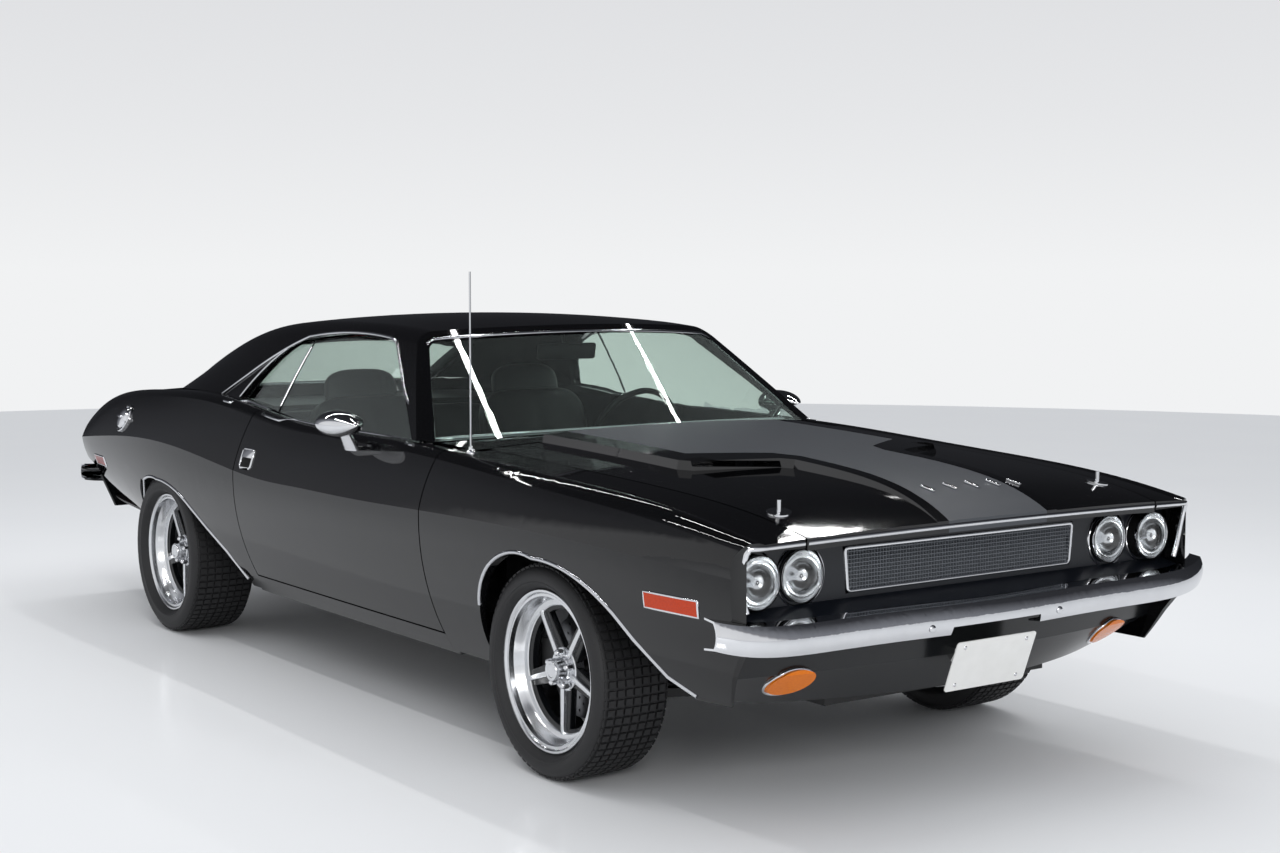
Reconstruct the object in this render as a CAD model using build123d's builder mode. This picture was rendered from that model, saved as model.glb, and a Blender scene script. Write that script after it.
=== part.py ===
"""A two-door hardtop muscle car at full size, in millimetres.

The front faces -Y, +Z is up and the tyres stand on z = 0. The origin is on the ground, under the middle of
the car's length and width. The car's right side is at -X and the driver sits at +X. The body is one lofted
hull with a roof lofted above it, and each panel is cut from them where the real panels meet.
"""

import math
import os

from build123d import *

# Running gear
WHEELBASE = 2794.0
FRONT_AXLE_Y = -1490.0
REAR_AXLE_Y = FRONT_AXLE_Y + WHEELBASE
FRONT_TRACK = 1516.0
REAR_TRACK = 1542.0
FRONT_TYRE_R = 314.0
REAR_TYRE_R = 322.0
FRONT_TYRE_W = 245.0
REAR_TYRE_W = 265.0
RIM_LIP_R = 236.0
RIM_SEAT_R = 216.0
RIM_WALL = 9.0
RIM_LIP_T = 7.0
RIM_HALF_FRONT = 101.0
RIM_HALF_REAR = 106.0
SPOKES = 5
HUB_R = 68.0
CAP_R = 31.0
SPINDLE_R = 20.0
RUNNING = 0.3
KINGPIN_OFFSET = 100.0
KINGPIN_R = 10.0
DISC_R = 148.0
DISC_T = 24.0
DISC_X = -26.0
DISC_CLEAR = 5.0
CALIPER_AT = 132.0
ARM_LOW_Z = 226.0
ARM_HIGH_Z = 432.0
ARM_T = 26.0
RAIL_INNER_X = 345.0
RAIL_OUTER_X = 425.0
RAIL_LOW_Z = 290.0
RAIL_HIGH_Z = 370.0
CRADLE_LOW_Z = 204.0
CRADLE_HIGH_Z = 249.0
REAR_RAIL_Z = 376.0

# Body shell and the gaps between its panels
SKIN = 30.0
SHUT_GAP = 6.0
SEAM = 0.3
DOOR_INNER_X = 795.0
DOOR_FRONT_Y = -884.0
DOOR_REAR_Y = 517.0
DOOR_REAR_TAPER = 16.0
SILL_TOP_Z = 326.0
PILLAR_T = 34.0
HOOD_REAR_Y = -946.0
HOOD_REAR_GAP = 17.0
HOOD_HINGE = (-1166.0, 886.0)
HINGE_PIN_R = 6.0
HINGE_PIN_REACH = 18.0
HOOD_HALF_REAR = 716.0
HOOD_HALF_FRONT = 664.0
DECK_FRONT_Y = 1842.0
DECK_FRONT_GAP = 13.5
LID_HINGE = (2012.0, 911.0)
DECK_HALF = 690.0
LID_REAR_Z = 792.0
FLOOR_Z = 262.0
FLOOR_T = 16.0
FIREWALL_Y = -760.0
KICKUP_Y = 985.0
TRUNK_FLOOR_Z = 436.0
BULKHEAD_Y = 1230.0
SHELF_Z = 902.0
WHEELHOUSE_R = 362.0
WHEELHOUSE_INNER_X = 600.0
GLASS = 6.0

# Hull sections. Columns: y, sill half width, sill z, crease half width, crease z, belt half width, belt z,
# shoulder half width, shoulder z, crown z on the centre line
HULL = [
    (-2450, 740, 300, 848, 690, 838, 756, 792, 771, 783),
    (-2200, 770, 290, 890, 706, 870, 792, 802, 816, 864),
    (-1850, 790, 275, 918, 722, 878, 824, 802, 852, 892),
    (-1477, 800, 265, 930, 729, 880, 845, 802, 872, 912),
    (-1050, 805, 262, 934, 726, 876, 870, 802, 894, 926),
    (-600, 808, 262, 935, 716, 868, 886, 800, 910, 934),
    (0, 810, 262, 936, 712, 864, 892, 800, 914, 935),
    (450, 810, 262, 937, 720, 862, 914, 798, 938, 958),
    (800, 810, 268, 942, 752, 862, 948, 794, 968, 984),
    (1200, 806, 300, 948, 780, 862, 956, 780, 976, 992),
    (1650, 792, 380, 936, 772, 852, 936, 762, 958, 976),
    (2050, 770, 450, 902, 742, 826, 898, 735, 920, 942),
    (2460, 730, 540, 838, 704, 782, 786, 700, 806, 836),
]
LOWER_BULGE = 42.0
UPPER_BULGE = 7.0
SHOULDER_BULGE = 12.0

# Roof sections. Columns: y, foot half width, rail half width, rail z, roof edge half width, roof edge z,
# roof z on the centre line. The foot is buried in the hull.
ROOF_FOOT_Z = 800.0
ROOF = [
    (-1000, 900, 615, 1130, 540, 1160, 1180),
    (-550, 893, 628, 1190, 545, 1228, 1252),
    (-200, 890, 636, 1222, 548, 1262, 1286),
    (200, 888, 638, 1232, 546, 1274, 1300),
    (600, 884, 630, 1222, 540, 1266, 1291),
    (1000, 876, 612, 1180, 530, 1228, 1254),
    (1400, 864, 588, 1096, 510, 1132, 1158),
    (1800, 846, 560, 970, 486, 1000, 1024),
    (2050, 820, 530, 872, 460, 900, 920),
]
SIDE_BULGE = 14.0
RAIL_BULGE = 9.0
ROOF_SKIN = 26.0
DOOR_GLASS_IN = 10.0

# Windscreen and rear window surfaces, ruled between two plan arcs.
# Columns: z, half width at the corner, corner y, centre y
SCREEN = [(905.0, 790.0, -701.0, -876.0), (1262.0, 581.0, -282.0, -392.0)]
REAR_SCREEN = [(925.0, 700.0, 1800.0, 1884.0), (1262.0, 560.0, 985.0, 1043.0)]
SCREEN_SLOPE_SHIFT = 10.5
REAR_SLOPE_SHIFT = 15.5
REAR_OPENING_LOW = 600.0
REAR_OPENING_HIGH = 478.0

# Nose and tail
NOSE_Y = -2429.5
TAIL_Y = 2429.5
NOSE_BODY_Y = NOSE_Y + 6.0
NOSE_CORNER = (812.0, -2394.0)
NOSE_SIDE = (900.0, -2270.0)
RECESS_HALF = 840.0
RECESS_TOP_Z = 764.0
RECESS_LOW_Z = 600.0
PANEL_Y = -2288.0
PANEL_T = 16.0
LAMP_R = 71.0
LAMP_Z = 673.0
LAMPS = [(756.0, -2334.0), (592.0, -2312.0)]
GRILLE_TOP = (444.0, 736.0)
GRILLE_LOW = (432.0, 610.0)
GRILLE_FRAME = 11.0
GRILLE_DEPTH = 24.0
GRILLE_ROWS = 6
GRILLE_COLUMNS = 22
GRILLE_BAR = 3.0


def bulged(start, end, depth, side):
    """The middle of a chord, pushed outwards by depth."""
    dx, dz = end[0] - start[0], end[1] - start[1]
    length = math.hypot(dx, dz)
    return ((start[0] + end[0]) / 2 + side * abs(dz) / length * depth,
            (start[1] + end[1]) / 2 + abs(dx) / length * depth)


def hull_section(row, inset, rise):
    """One closed cross-section of the hull, moved in by inset at its sides and top."""
    y, xr, zr, xc, zc, xb, zb, xt, zt, zm = row
    xr, xc, xb, xt = xr - inset, xc - inset, xb - inset, xt - inset
    zb, zt, zm = zb - inset * 0.7, zt - inset + rise, zm - inset + rise
    low = zr if inset == 0 else zr - 60
    with BuildSketch(Plane.XZ.offset(-y)) as section:
        with BuildLine():
            for side in (1, -1):
                sill, crease = (side * xr, low), (side * xc, zc)
                belt, shoulder = (side * xb, zb), (side * xt, zt)
                ThreePointArc(sill, bulged(sill, crease, LOWER_BULGE, side), crease)
                ThreePointArc(crease, bulged(crease, belt, UPPER_BULGE, side), belt)
                ThreePointArc(belt, bulged(belt, shoulder, SHOULDER_BULGE, side), shoulder)
            ThreePointArc((xt, zt), (0, zm), (-xt, zt))
            Line((-xr, low), (xr, low))
        make_face()
    return section.sketch


def make_hull(inset=0.0, rises=None):
    with BuildPart() as solid:
        for number, row in enumerate(HULL):
            add(hull_section(row, inset, rises[number] if rises else 0.0))
        loft()
    return solid.part


def roof_section(row, inset):
    y, xf, xr, zr, xe, ze, zm = row
    xf, xr, xe = xf - inset, xr - inset, xe - inset * 0.5
    zr, ze, zm = zr - inset * 0.6, ze - inset, zm - inset
    foot = ROOF_FOOT_Z - (0 if inset == 0 else 60)
    with BuildSketch(Plane.XZ.offset(-y)) as section:
        with BuildLine():
            for side in (1, -1):
                low, rail, edge = (side * xf, foot), (side * xr, zr), (side * xe, ze)
                ThreePointArc(low, bulged(low, rail, SIDE_BULGE, side), rail)
                ThreePointArc(rail, bulged(rail, edge, RAIL_BULGE, side), edge)
            ThreePointArc((xe, ze), (0, zm), (-xe, ze))
            Line((-xf, foot), (xf, foot))
        make_face()
    return section.sketch


def make_roof(inset=0.0):
    with BuildPart() as solid:
        for row in ROOF:
            add(roof_section(row, inset))
        loft()
    return solid.part


def block(x0, x1, y0, y1, z0, z1):
    """An upright box between two corners."""
    with BuildPart() as solid:
        with Locations(((x0 + x1) / 2, (y0 + y1) / 2, (z0 + z1) / 2)):
            Box(x1 - x0, y1 - y0, z1 - z0)
    return solid.part


def pair(part):
    """A part of the left side with its mirror image on the right."""
    return [part, part.mirror(Plane.YZ)]


def plan_prism(points, z0, z1):
    with BuildPart() as solid:
        with BuildSketch(Plane.XY.offset(z0)):
            with BuildLine():
                Polyline(*points, close=True)
            make_face()
        extrude(amount=z1 - z0)
    return solid.part


def side_prism(points, x0, x1):
    with BuildPart() as solid:
        with BuildSketch(Plane.YZ.offset(x0)):
            with BuildLine():
                Polyline(*points, close=True)
            make_face()
        extrude(amount=x1 - x0)
    return solid.part


def rod(x0, x1, y, z, radius):
    """A round bar along X."""
    with BuildPart() as solid:
        with BuildSketch(Plane.YZ.offset(min(x0, x1))):
            with Locations((y, z)):
                Circle(radius)
        extrude(amount=abs(x1 - x0))
    return solid.part


def screen_wedge(rows, far, shift, z0, z1):
    """The space beyond a curved window surface, between two heights."""
    (za, ha, ca, ma), (zb, hb, cb, mb) = rows
    wide = 900.0
    with BuildPart() as solid:
        for z in (z0, z1):
            share = (z - za) / (zb - za)
            half, corner = ha + share * (hb - ha), ca + share * (cb - ca)
            centre = ma + share * (mb - ma) + shift
            edge = centre + (corner + shift - centre) * (wide / half) ** 2
            with BuildSketch(Plane.XY.offset(z)):
                with BuildLine():
                    ThreePointArc((-wide, edge), (0, centre), (wide, edge))
                    Polyline((wide, edge), (wide, far), (-wide, far), (-wide, edge))
                make_face()
        loft(ruled=True)
    return solid.part


def arch_prism(points, x0, x1):
    """A wheel opening from rows of side-view points, each pair of legs joined by arcs over the top."""
    with BuildPart() as solid:
        with BuildSketch(Plane.YZ.offset(x0)):
            with BuildLine():
                Polyline(*points["front"])
                ThreePointArc(points["front"][-1], points["front_mid"], points["top"])
                ThreePointArc(points["top"], points["rear_mid"], points["rear"][0])
                Polyline(*points["rear"])
                Line(points["rear"][-1], points["front"][0])
            make_face()
        extrude(amount=x1 - x0)
    return solid.part


FRONT_ARCH = {
    "front": [(-2260, 200), (-2140, 357), (-2050, 395), (-1950, 480), (-1880, 542)],
    "front_mid": (-1715, 622),
    "top": (-1520, 645),
    "rear_mid": (-1262, 575),
    "rear": [(-1184, 440), (-1172, 330), (-1168, 200)],
}
REAR_ARCH = {
    "front": [(560, 200), (645, 296), (735, 393), (860, 468), (985, 538)],
    "front_mid": (1130, 598),
    "top": (1290, 617),
    "rear_mid": (1490, 585),
    "rear": [(1610, 470), (1668, 370), (1690, 200)],
}

# Whole forms that the panels are cut from
hull = make_hull()
hull_inner = make_hull(SKIN)
hull_fit = make_hull(SKIN + SEAM)
hull_shell = hull - hull_inner
roof_form = make_roof()
roof_inner = make_roof(ROOF_SKIN)
roof_fit = make_roof(ROOF_SKIN + SEAM)
front_arch = arch_prism(FRONT_ARCH, -1200, 1200)
rear_arch = arch_prism(REAR_ARCH, -1200, 1200)
screen_front = screen_wedge(SCREEN, -1700, 0.0, 780, 1360)
screen_rear = screen_wedge(REAR_SCREEN, 2700, 0.0, 780, 1360)

with BuildPart() as nose_plan_form:
    with BuildSketch(Plane.XY.offset(200)):
        with BuildLine():
            ThreePointArc((-NOSE_CORNER[0], NOSE_CORNER[1]), (0, NOSE_BODY_Y), NOSE_CORNER)
            ThreePointArc(NOSE_CORNER, (870, -2350), NOSE_SIDE)
            Polyline(NOSE_SIDE, (1000, -2000), (1000, 2360))
            ThreePointArc((1000, 2360), (0, TAIL_Y - 12), (-1000, 2360))
            Polyline((-1000, 2360), (-1000, -2000), (-NOSE_SIDE[0], NOSE_SIDE[1]))
            ThreePointArc((-NOSE_SIDE[0], NOSE_SIDE[1]), (-870, -2350), (-NOSE_CORNER[0], NOSE_CORNER[1]))
        make_face()
    extrude(amount=900)
plan_form = nose_plan_form.part

recess = block(-RECESS_HALF, RECESS_HALF, -2500, PANEL_Y + PANEL_T, 540, RECESS_TOP_Z)
nose_undercut = side_prism([(-2500, 520), (-2373, 516), (-2318, 440), (-2270, 350), (-2113, 346), (-2050, 200),
                            (-2500, 200)], -1200, 1200)
tail_undercut = side_prism([(1700, 380), (1929, 470), (2134, 530), (2260, 600), (2500, 640), (2500, 200),
                            (1700, 200)], -1200, 1200)


def hood_edge(y):
    """Half width of the hood at y."""
    share = (y - NOSE_Y) / (HOOD_REAR_Y - NOSE_Y)
    return HOOD_HALF_FRONT + share * (HOOD_HALF_REAR - HOOD_HALF_FRONT)


hood_plan = plan_prism([(-hood_edge(-2500), -2500), (hood_edge(-2500), -2500),
                        (HOOD_HALF_REAR, HOOD_REAR_Y), (-HOOD_HALF_REAR, HOOD_REAR_Y)], 700, 1100)
hood_hole = plan_prism([(-hood_edge(-2500) - SHUT_GAP, -2500), (hood_edge(-2500) + SHUT_GAP, -2500),
                        (HOOD_HALF_REAR + SHUT_GAP, HOOD_REAR_Y + HOOD_REAR_GAP),
                        (-HOOD_HALF_REAR - SHUT_GAP, HOOD_REAR_Y + HOOD_REAR_GAP)], RECESS_TOP_Z, 1100)

# Front fenders: the side skin from the nose to the door, with a jamb for the door's hinges
with BuildPart() as fenders:
    add(hull_shell)
    add(hull & block(-1000, 1000, DOOR_FRONT_Y - PILLAR_T, DOOR_FRONT_Y, 200, 1000))
    add(block(-640, 640, -1000, DOOR_FRONT_Y + 1, 200, 1100), mode=Mode.SUBTRACT)
    add(plan_form, mode=Mode.INTERSECT)
    add(block(-1000, 1000, -2600, DOOR_FRONT_Y, 200, 1000), mode=Mode.INTERSECT)
    add(hood_hole, mode=Mode.SUBTRACT)
    add(block(-760, 760, HOOD_REAR_Y + HOOD_REAR_GAP - 40, DOOR_FRONT_Y + 1, 700, 1100), mode=Mode.SUBTRACT)
    add(recess, mode=Mode.SUBTRACT)
    add(nose_undercut, mode=Mode.SUBTRACT)
    add(front_arch, mode=Mode.SUBTRACT)
    add(block(-600, 600, -2600, 0, 200, 1100), mode=Mode.SUBTRACT)
    for side in (1, -1):
        add(rod(side * 560, side * 905, FRONT_AXLE_Y, FRONT_TYRE_R, FRONT_TYRE_R + 26), mode=Mode.SUBTRACT)
        hinge_x = hood_edge(HOOD_HINGE[0])
        add(rod(side * (hinge_x - HINGE_PIN_REACH), side * (hinge_x + 30), *HOOD_HINGE, HINGE_PIN_R))

# Hood with its raised centre, two forward scoops and the shallow hollows ahead of them
HOOD_RISE = 26.0
BULGE_PLAN = [(527, HOOD_REAR_Y + 1), (505, -1640), (478, -1690), (250, -1790), (226, -1830), (204, -2440)]
bulge_rises = [0.0, 16.0] + [HOOD_RISE] * (len(HULL) - 2)
bulge_form = make_hull(0.0, bulge_rises)
with BuildPart() as bulge_prism:
    with BuildSketch(Plane.XY.offset(760)):
        with BuildLine():
            outline = [(x + 34, y) for x, y in BULGE_PLAN]
            Polyline(*outline, *[(-x, y) for x, y in reversed(outline)], close=True)
        make_face()
    with BuildSketch(Plane.XY.offset(1000)):
        with BuildLine():
            outline = [(x - 26, y) for x, y in BULGE_PLAN]
            Polyline(*outline, *[(-x, y) for x, y in reversed(outline)], close=True)
        make_face()
    loft(ruled=True)
with BuildPart() as hood:
    add(bulge_form & bulge_prism.part)
    add(hull_shell)
    add(hood_plan, mode=Mode.INTERSECT)
    add(plan_form, mode=Mode.INTERSECT)
    add(hull_inner, mode=Mode.SUBTRACT)
    for side in (1, -1):
        with BuildSketch(Plane((0, -1700, 898), x_dir=(1, 0, 0), z_dir=(0, -0.06, 1))):
            with BuildLine():
                Polyline((side * 482, 60), (side * 482, -40), (side * 246, -140), (side * 246, 60), close=True)
            make_face()
        extrude(amount=18, mode=Mode.SUBTRACT)
        add(rod(side * (hinge_x - HINGE_PIN_REACH - 2), side * (hinge_x + 2), *HOOD_HINGE, HINGE_PIN_R + RUNNING),
            mode=Mode.SUBTRACT)

# Cowl between the hood and the windscreen
with BuildPart() as cowl:
    add(hull_shell)
    add(block(-760 + SEAM, 760 - SEAM, HOOD_REAR_Y + HOOD_REAR_GAP, -600, 700, 1000), mode=Mode.INTERSECT)
    add(block(-1000, 1000, DOOR_FRONT_Y - 1, -590, 700, 880), mode=Mode.SUBTRACT)
    add(screen_wedge(SCREEN, 900, 60.0, 780, 1360), mode=Mode.SUBTRACT)


# Doors: as thick as the whole side, with a tapered rear edge
door_space = [(DOOR_INNER_X, DOOR_FRONT_Y + SHUT_GAP), (1100, DOOR_FRONT_Y + SHUT_GAP), (1100, DOOR_REAR_Y),
              (940, DOOR_REAR_Y), (DOOR_INNER_X, DOOR_REAR_Y - DOOR_REAR_TAPER)]
jamb_space = [(DOOR_INNER_X - SHUT_GAP, DOOR_FRONT_Y), (1100, DOOR_FRONT_Y), (1100, DOOR_REAR_Y + SHUT_GAP),
              (940, DOOR_REAR_Y + SHUT_GAP), (DOOR_INNER_X - SHUT_GAP, DOOR_REAR_Y + SHUT_GAP - DOOR_REAR_TAPER)]
door_prism = plan_prism(door_space, SILL_TOP_Z + SHUT_GAP, 1000)
door_hole = plan_prism(jamb_space, SILL_TOP_Z, 1200)
HANDLE = (425.0, 773.0, 62.0)
with BuildPart() as door_right:
    add(hull & door_prism.mirror(Plane.YZ))
    with BuildSketch(Plane.YZ.offset(-960)):
        with Locations((HANDLE[0], HANDLE[1])):
            RectangleRounded(HANDLE[2], HANDLE[2] + 14, 8)
    extrude(amount=44, mode=Mode.SUBTRACT)
with BuildPart() as door_left:
    add(door_right.part.mirror(Plane.YZ))

# Side glass, set just inside the roof's side surface
with BuildPart() as side_opening:
    with BuildSketch(Plane.YZ.offset(-1000)):
        with BuildLine():
            Polyline((800, 800), (-672, 800), (-672, 896), (-455, 1046), (-250, 1184))
            ThreePointArc((-250, 1184), (-215, 1207), (-165, 1219))
            ThreePointArc((-165, 1219), (130, 1231), (440, 1210))
            ThreePointArc((440, 1210), (640, 1140), (790, 975))
            Polyline((790, 975), (800, 800))
        make_face()
    extrude(amount=2000)
glass_band = make_roof(DOOR_GLASS_IN) - make_roof(DOOR_GLASS_IN + GLASS)
above_belt = block(-1000, 1000, -1000, 1600, 700, 1300) - hull.moved(Location((0, 0, SEAM)))
DIVIDER_LOW_Y = 444.0
DIVIDER_HIGH_Y = 428.0
door_glass_space = side_prism([(-700, 846), (DIVIDER_LOW_Y - 6, 846), (DIVIDER_HIGH_Y - 6, 1250),
                               (-700, 1250)], 400, 1000)
quarter_glass_space = side_prism([(DIVIDER_LOW_Y + 6, 846), (DIVIDER_HIGH_Y + 6, 1250), (1300, 1250),
                                  (1300, 846)], 400, 1000)
with BuildPart() as opening_inside:
    with BuildSketch(Plane.YZ.offset(-1000)):
        with BuildLine():
            Polyline((792, 790), (-664, 790), (-664, 893), (-448, 1042), (-244, 1178.5))
            ThreePointArc((-244, 1178.5), (-210, 1200.5), (-163, 1212))
            ThreePointArc((-163, 1212), (130, 1224), (438, 1203))
            ThreePointArc((438, 1203), (634, 1134.5), (782, 973))
            Polyline((782, 973), (792, 790))
        make_face()
    extrude(amount=2000)
glass_core = glass_band & opening_inside.part
glass_core = glass_core & above_belt
with BuildPart() as door_glass_left:
    add(glass_core & door_glass_space)
with BuildPart() as door_glass_right:
    add(door_glass_left.part.mirror(Plane.YZ))
with BuildPart() as quarter_glass:
    add(pair(glass_core & quarter_glass_space))

# Door mirrors: an oval bullet head on a slim foot
MIRROR_HEAD = (938.0, -385.0, 956.0)
MIRROR_R = 50.0
with BuildPart() as bullet:
    with BuildSketch(Plane.XY):
        with BuildLine():
            Line((0, 62), (0, -98))
            ThreePointArc((0, -98), (36, -44), (MIRROR_R, 62))
            Line((MIRROR_R, 62), (0, 62))
        make_face()
    revolve(axis=Axis.Y)
with BuildPart() as mirror_neck:
    with BuildSketch(Plane((-4, 8, -20), z_dir=(0, 0, -1))):
        Ellipse(15, 28)
    with BuildSketch(Plane((-56, 44, -92), z_dir=(0, 0, -1))):
        Ellipse(24, 42)
    loft(ruled=True)
mirror_solid = (scale(bullet.part, by=(1.42, 1.0, 0.84)) + mirror_neck.part).moved(Location(MIRROR_HEAD))
with BuildPart() as mirror_left:
    add(mirror_solid)
    add(hull.moved(Location((0, 0, SEAM))), mode=Mode.SUBTRACT)
with BuildPart() as mirror_right:
    add(mirror_left.part.mirror(Plane.YZ))

# Sills under the doors
with BuildPart() as rockers:
    add(hull)
    add(block(-1000, 1000, DOOR_FRONT_Y + SEAM, DOOR_REAR_Y - DOOR_REAR_TAPER, 200, SILL_TOP_Z),
        mode=Mode.INTERSECT)
    add(block(-745, 745, -1000, 1000, 200, 1000), mode=Mode.SUBTRACT)

# Roof with its pillars, and the panel under the rear window
rear_cut = screen_rear & plan_prism([(-REAR_OPENING_LOW, 2200), (-REAR_OPENING_HIGH, 900),
                                     (REAR_OPENING_HIGH, 900), (REAR_OPENING_LOW, 2200)], 700, 1400)
with BuildPart() as roof:
    add(roof_form - roof_inner)
    add(screen_front, mode=Mode.SUBTRACT)
    add(rear_cut, mode=Mode.SUBTRACT)
    add(side_opening.part, mode=Mode.SUBTRACT)
    add(hull.moved(Location((0, 0, SEAM))), mode=Mode.SUBTRACT)
    add(pair(block(DOOR_INNER_X - SHUT_GAP, 1000, DOOR_FRONT_Y, DOOR_REAR_Y + SHUT_GAP, 800, 950)
             & hull.moved(Location((0, 0, SHUT_GAP)))), mode=Mode.SUBTRACT)

# Windscreen and rear window, each behind its surface and inside the roof's skin
with BuildPart() as windscreen:
    add(roof_fit)
    add(screen_wedge(SCREEN, -1700, SCREEN_SLOPE_SHIFT, 780, 1360), mode=Mode.INTERSECT)
    add(screen_front, mode=Mode.SUBTRACT)
    add(hull.moved(Location((0, 0, SEAM))), mode=Mode.SUBTRACT)
with BuildPart() as rear_window:
    add(roof_fit)
    add(screen_wedge(REAR_SCREEN, 2700, -REAR_SLOPE_SHIFT, 780, 1360), mode=Mode.INTERSECT)
    add(screen_rear, mode=Mode.SUBTRACT)
    add(plan_prism([(-REAR_OPENING_LOW - 20, 2200), (-REAR_OPENING_HIGH - 20, 900),
                    (REAR_OPENING_HIGH + 20, 900), (REAR_OPENING_LOW + 20, 2200)], 700, 1400),
        mode=Mode.INTERSECT)
    add(hull.moved(Location((0, 0, SEAM))), mode=Mode.SUBTRACT)

# Rear quarters with the deck frame round the trunk opening
deck_hole = block(-DECK_HALF - SHUT_GAP, DECK_HALF + SHUT_GAP, DECK_FRONT_Y - DECK_FRONT_GAP, 2600,
                  LID_REAR_Z - SHUT_GAP, 1100)
with BuildPart() as quarters:
    add(hull_shell)
    add(hull & block(-1000, 1000, DOOR_REAR_Y - DOOR_REAR_TAPER, DOOR_REAR_Y + SHUT_GAP + PILLAR_T, 200, 1000))
    add(plan_form, mode=Mode.INTERSECT)
    add(block(-1000, 1000, DOOR_REAR_Y - DOOR_REAR_TAPER, 2600, 200, 1100), mode=Mode.INTERSECT)
    add(pair(door_hole), mode=Mode.SUBTRACT)
    add(block(-745, 745, 400, 1700, 200, 1100), mode=Mode.SUBTRACT)
    add(block(-DECK_HALF - SHUT_GAP, DECK_HALF + SHUT_GAP, 1690, DECK_FRONT_Y - 80, 200, 1100), mode=Mode.SUBTRACT)
    add(deck_hole, mode=Mode.SUBTRACT)
    add(block(-800, 800, 1700, 2600, 200, 640), mode=Mode.SUBTRACT)
    add(block(-DECK_HALF - SHUT_GAP, DECK_HALF + SHUT_GAP, 1900, 2600, 200, 1100), mode=Mode.SUBTRACT)
    add(tail_undercut, mode=Mode.SUBTRACT)
    add(rear_arch, mode=Mode.SUBTRACT)
    for side in (1, -1):
        add(rod(side * 560, side * 918, REAR_AXLE_Y, REAR_TYRE_R, REAR_TYRE_R + 24), mode=Mode.SUBTRACT)
        add(rod(side * (DECK_HALF - HINGE_PIN_REACH), side * (DECK_HALF + 30), *LID_HINGE, HINGE_PIN_R))

# Trunk lid
with BuildPart() as trunk_lid:
    add(hull_shell)
    add(plan_form, mode=Mode.INTERSECT)
    add(block(-DECK_HALF, DECK_HALF, DECK_FRONT_Y, 2600, LID_REAR_Z, 1100), mode=Mode.INTERSECT)
    add(hull & block(-DECK_HALF, DECK_HALF, 2384, 2404, LID_REAR_Z, 1000))
    for side in (1, -1):
        add(rod(side * (DECK_HALF - HINGE_PIN_REACH - 2), side * (DECK_HALF + 2), *LID_HINGE, HINGE_PIN_R + RUNNING),
            mode=Mode.SUBTRACT)


# Nose panel: the recessed wall behind lamps and grille, with a sloping ledge down to the bumper
LAMP_GAP = 1.5
PANEL_HOLE_TOP = (GRILLE_TOP[0] + SEAM, GRILLE_TOP[1] + SEAM)
with BuildPart() as nose_panel:
    with BuildSketch(Plane.YZ.offset(-RECESS_HALF + SEAM)):
        with BuildLine():
            Polyline((PANEL_Y, RECESS_TOP_Z - SEAM), (PANEL_Y + PANEL_T, RECESS_TOP_Z - SEAM),
                     (PANEL_Y + PANEL_T, 566), (-2384, 540), (-2392, 556), (-2392, 572),
                     (PANEL_Y, RECESS_LOW_Z - 2), (PANEL_Y, RECESS_TOP_Z - SEAM))
        make_face()
    extrude(amount=2 * (RECESS_HALF - SEAM))
    add(plan_form, mode=Mode.INTERSECT)
    with BuildSketch(Plane.XZ.offset(-PANEL_Y - PANEL_T)):
        with Locations(*[(s * x, LAMP_Z) for x, y in LAMPS for s in (1, -1)]):
            Circle(LAMP_R + SEAM)
    extrude(amount=200, mode=Mode.SUBTRACT)
    with BuildSketch(Plane.XZ.offset(-PANEL_Y - PANEL_T)):
        with BuildLine():
            Polyline((-GRILLE_LOW[0] - SEAM, GRILLE_LOW[1] - SEAM), (GRILLE_LOW[0] + SEAM, GRILLE_LOW[1] - SEAM),
                     PANEL_HOLE_TOP, (-PANEL_HOLE_TOP[0], PANEL_HOLE_TOP[1]), close=True)
        make_face()
    extrude(amount=200, mode=Mode.SUBTRACT)

# Headlamps: round sealed units with a domed lens
with BuildPart() as headlamps:
    for x, front in LAMPS:
        for side in (1, -1):
            with BuildSketch(Plane.XZ.offset(-(PANEL_Y + PANEL_T + 30))):
                with Locations((side * x, LAMP_Z)):
                    Circle(LAMP_R)
            extrude(amount=-front + PANEL_Y + PANEL_T + 30 - 16)
            with BuildSketch(Plane.XZ.offset(-front - 16)):
                with Locations((side * x, LAMP_Z)):
                    Circle(LAMP_R)
            with BuildSketch(Plane.XZ.offset(-front - 5)):
                with Locations((side * x, LAMP_Z)):
                    Circle(LAMP_R - 14)
            with BuildSketch(Plane.XZ.offset(-front)):
                with Locations((side * x, LAMP_Z)):
                    Circle(LAMP_R - 40)
            loft(ruled=True)

# Grille: a frame round a mesh of upright and level bars
GRILLE_Y = PANEL_Y + PANEL_T


def grille_outline(inset):
    return [(-GRILLE_LOW[0] + inset, GRILLE_LOW[1] + inset), (GRILLE_LOW[0] - inset, GRILLE_LOW[1] + inset),
            (GRILLE_TOP[0] - inset, GRILLE_TOP[1] - inset), (-GRILLE_TOP[0] + inset, GRILLE_TOP[1] - inset)]


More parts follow.
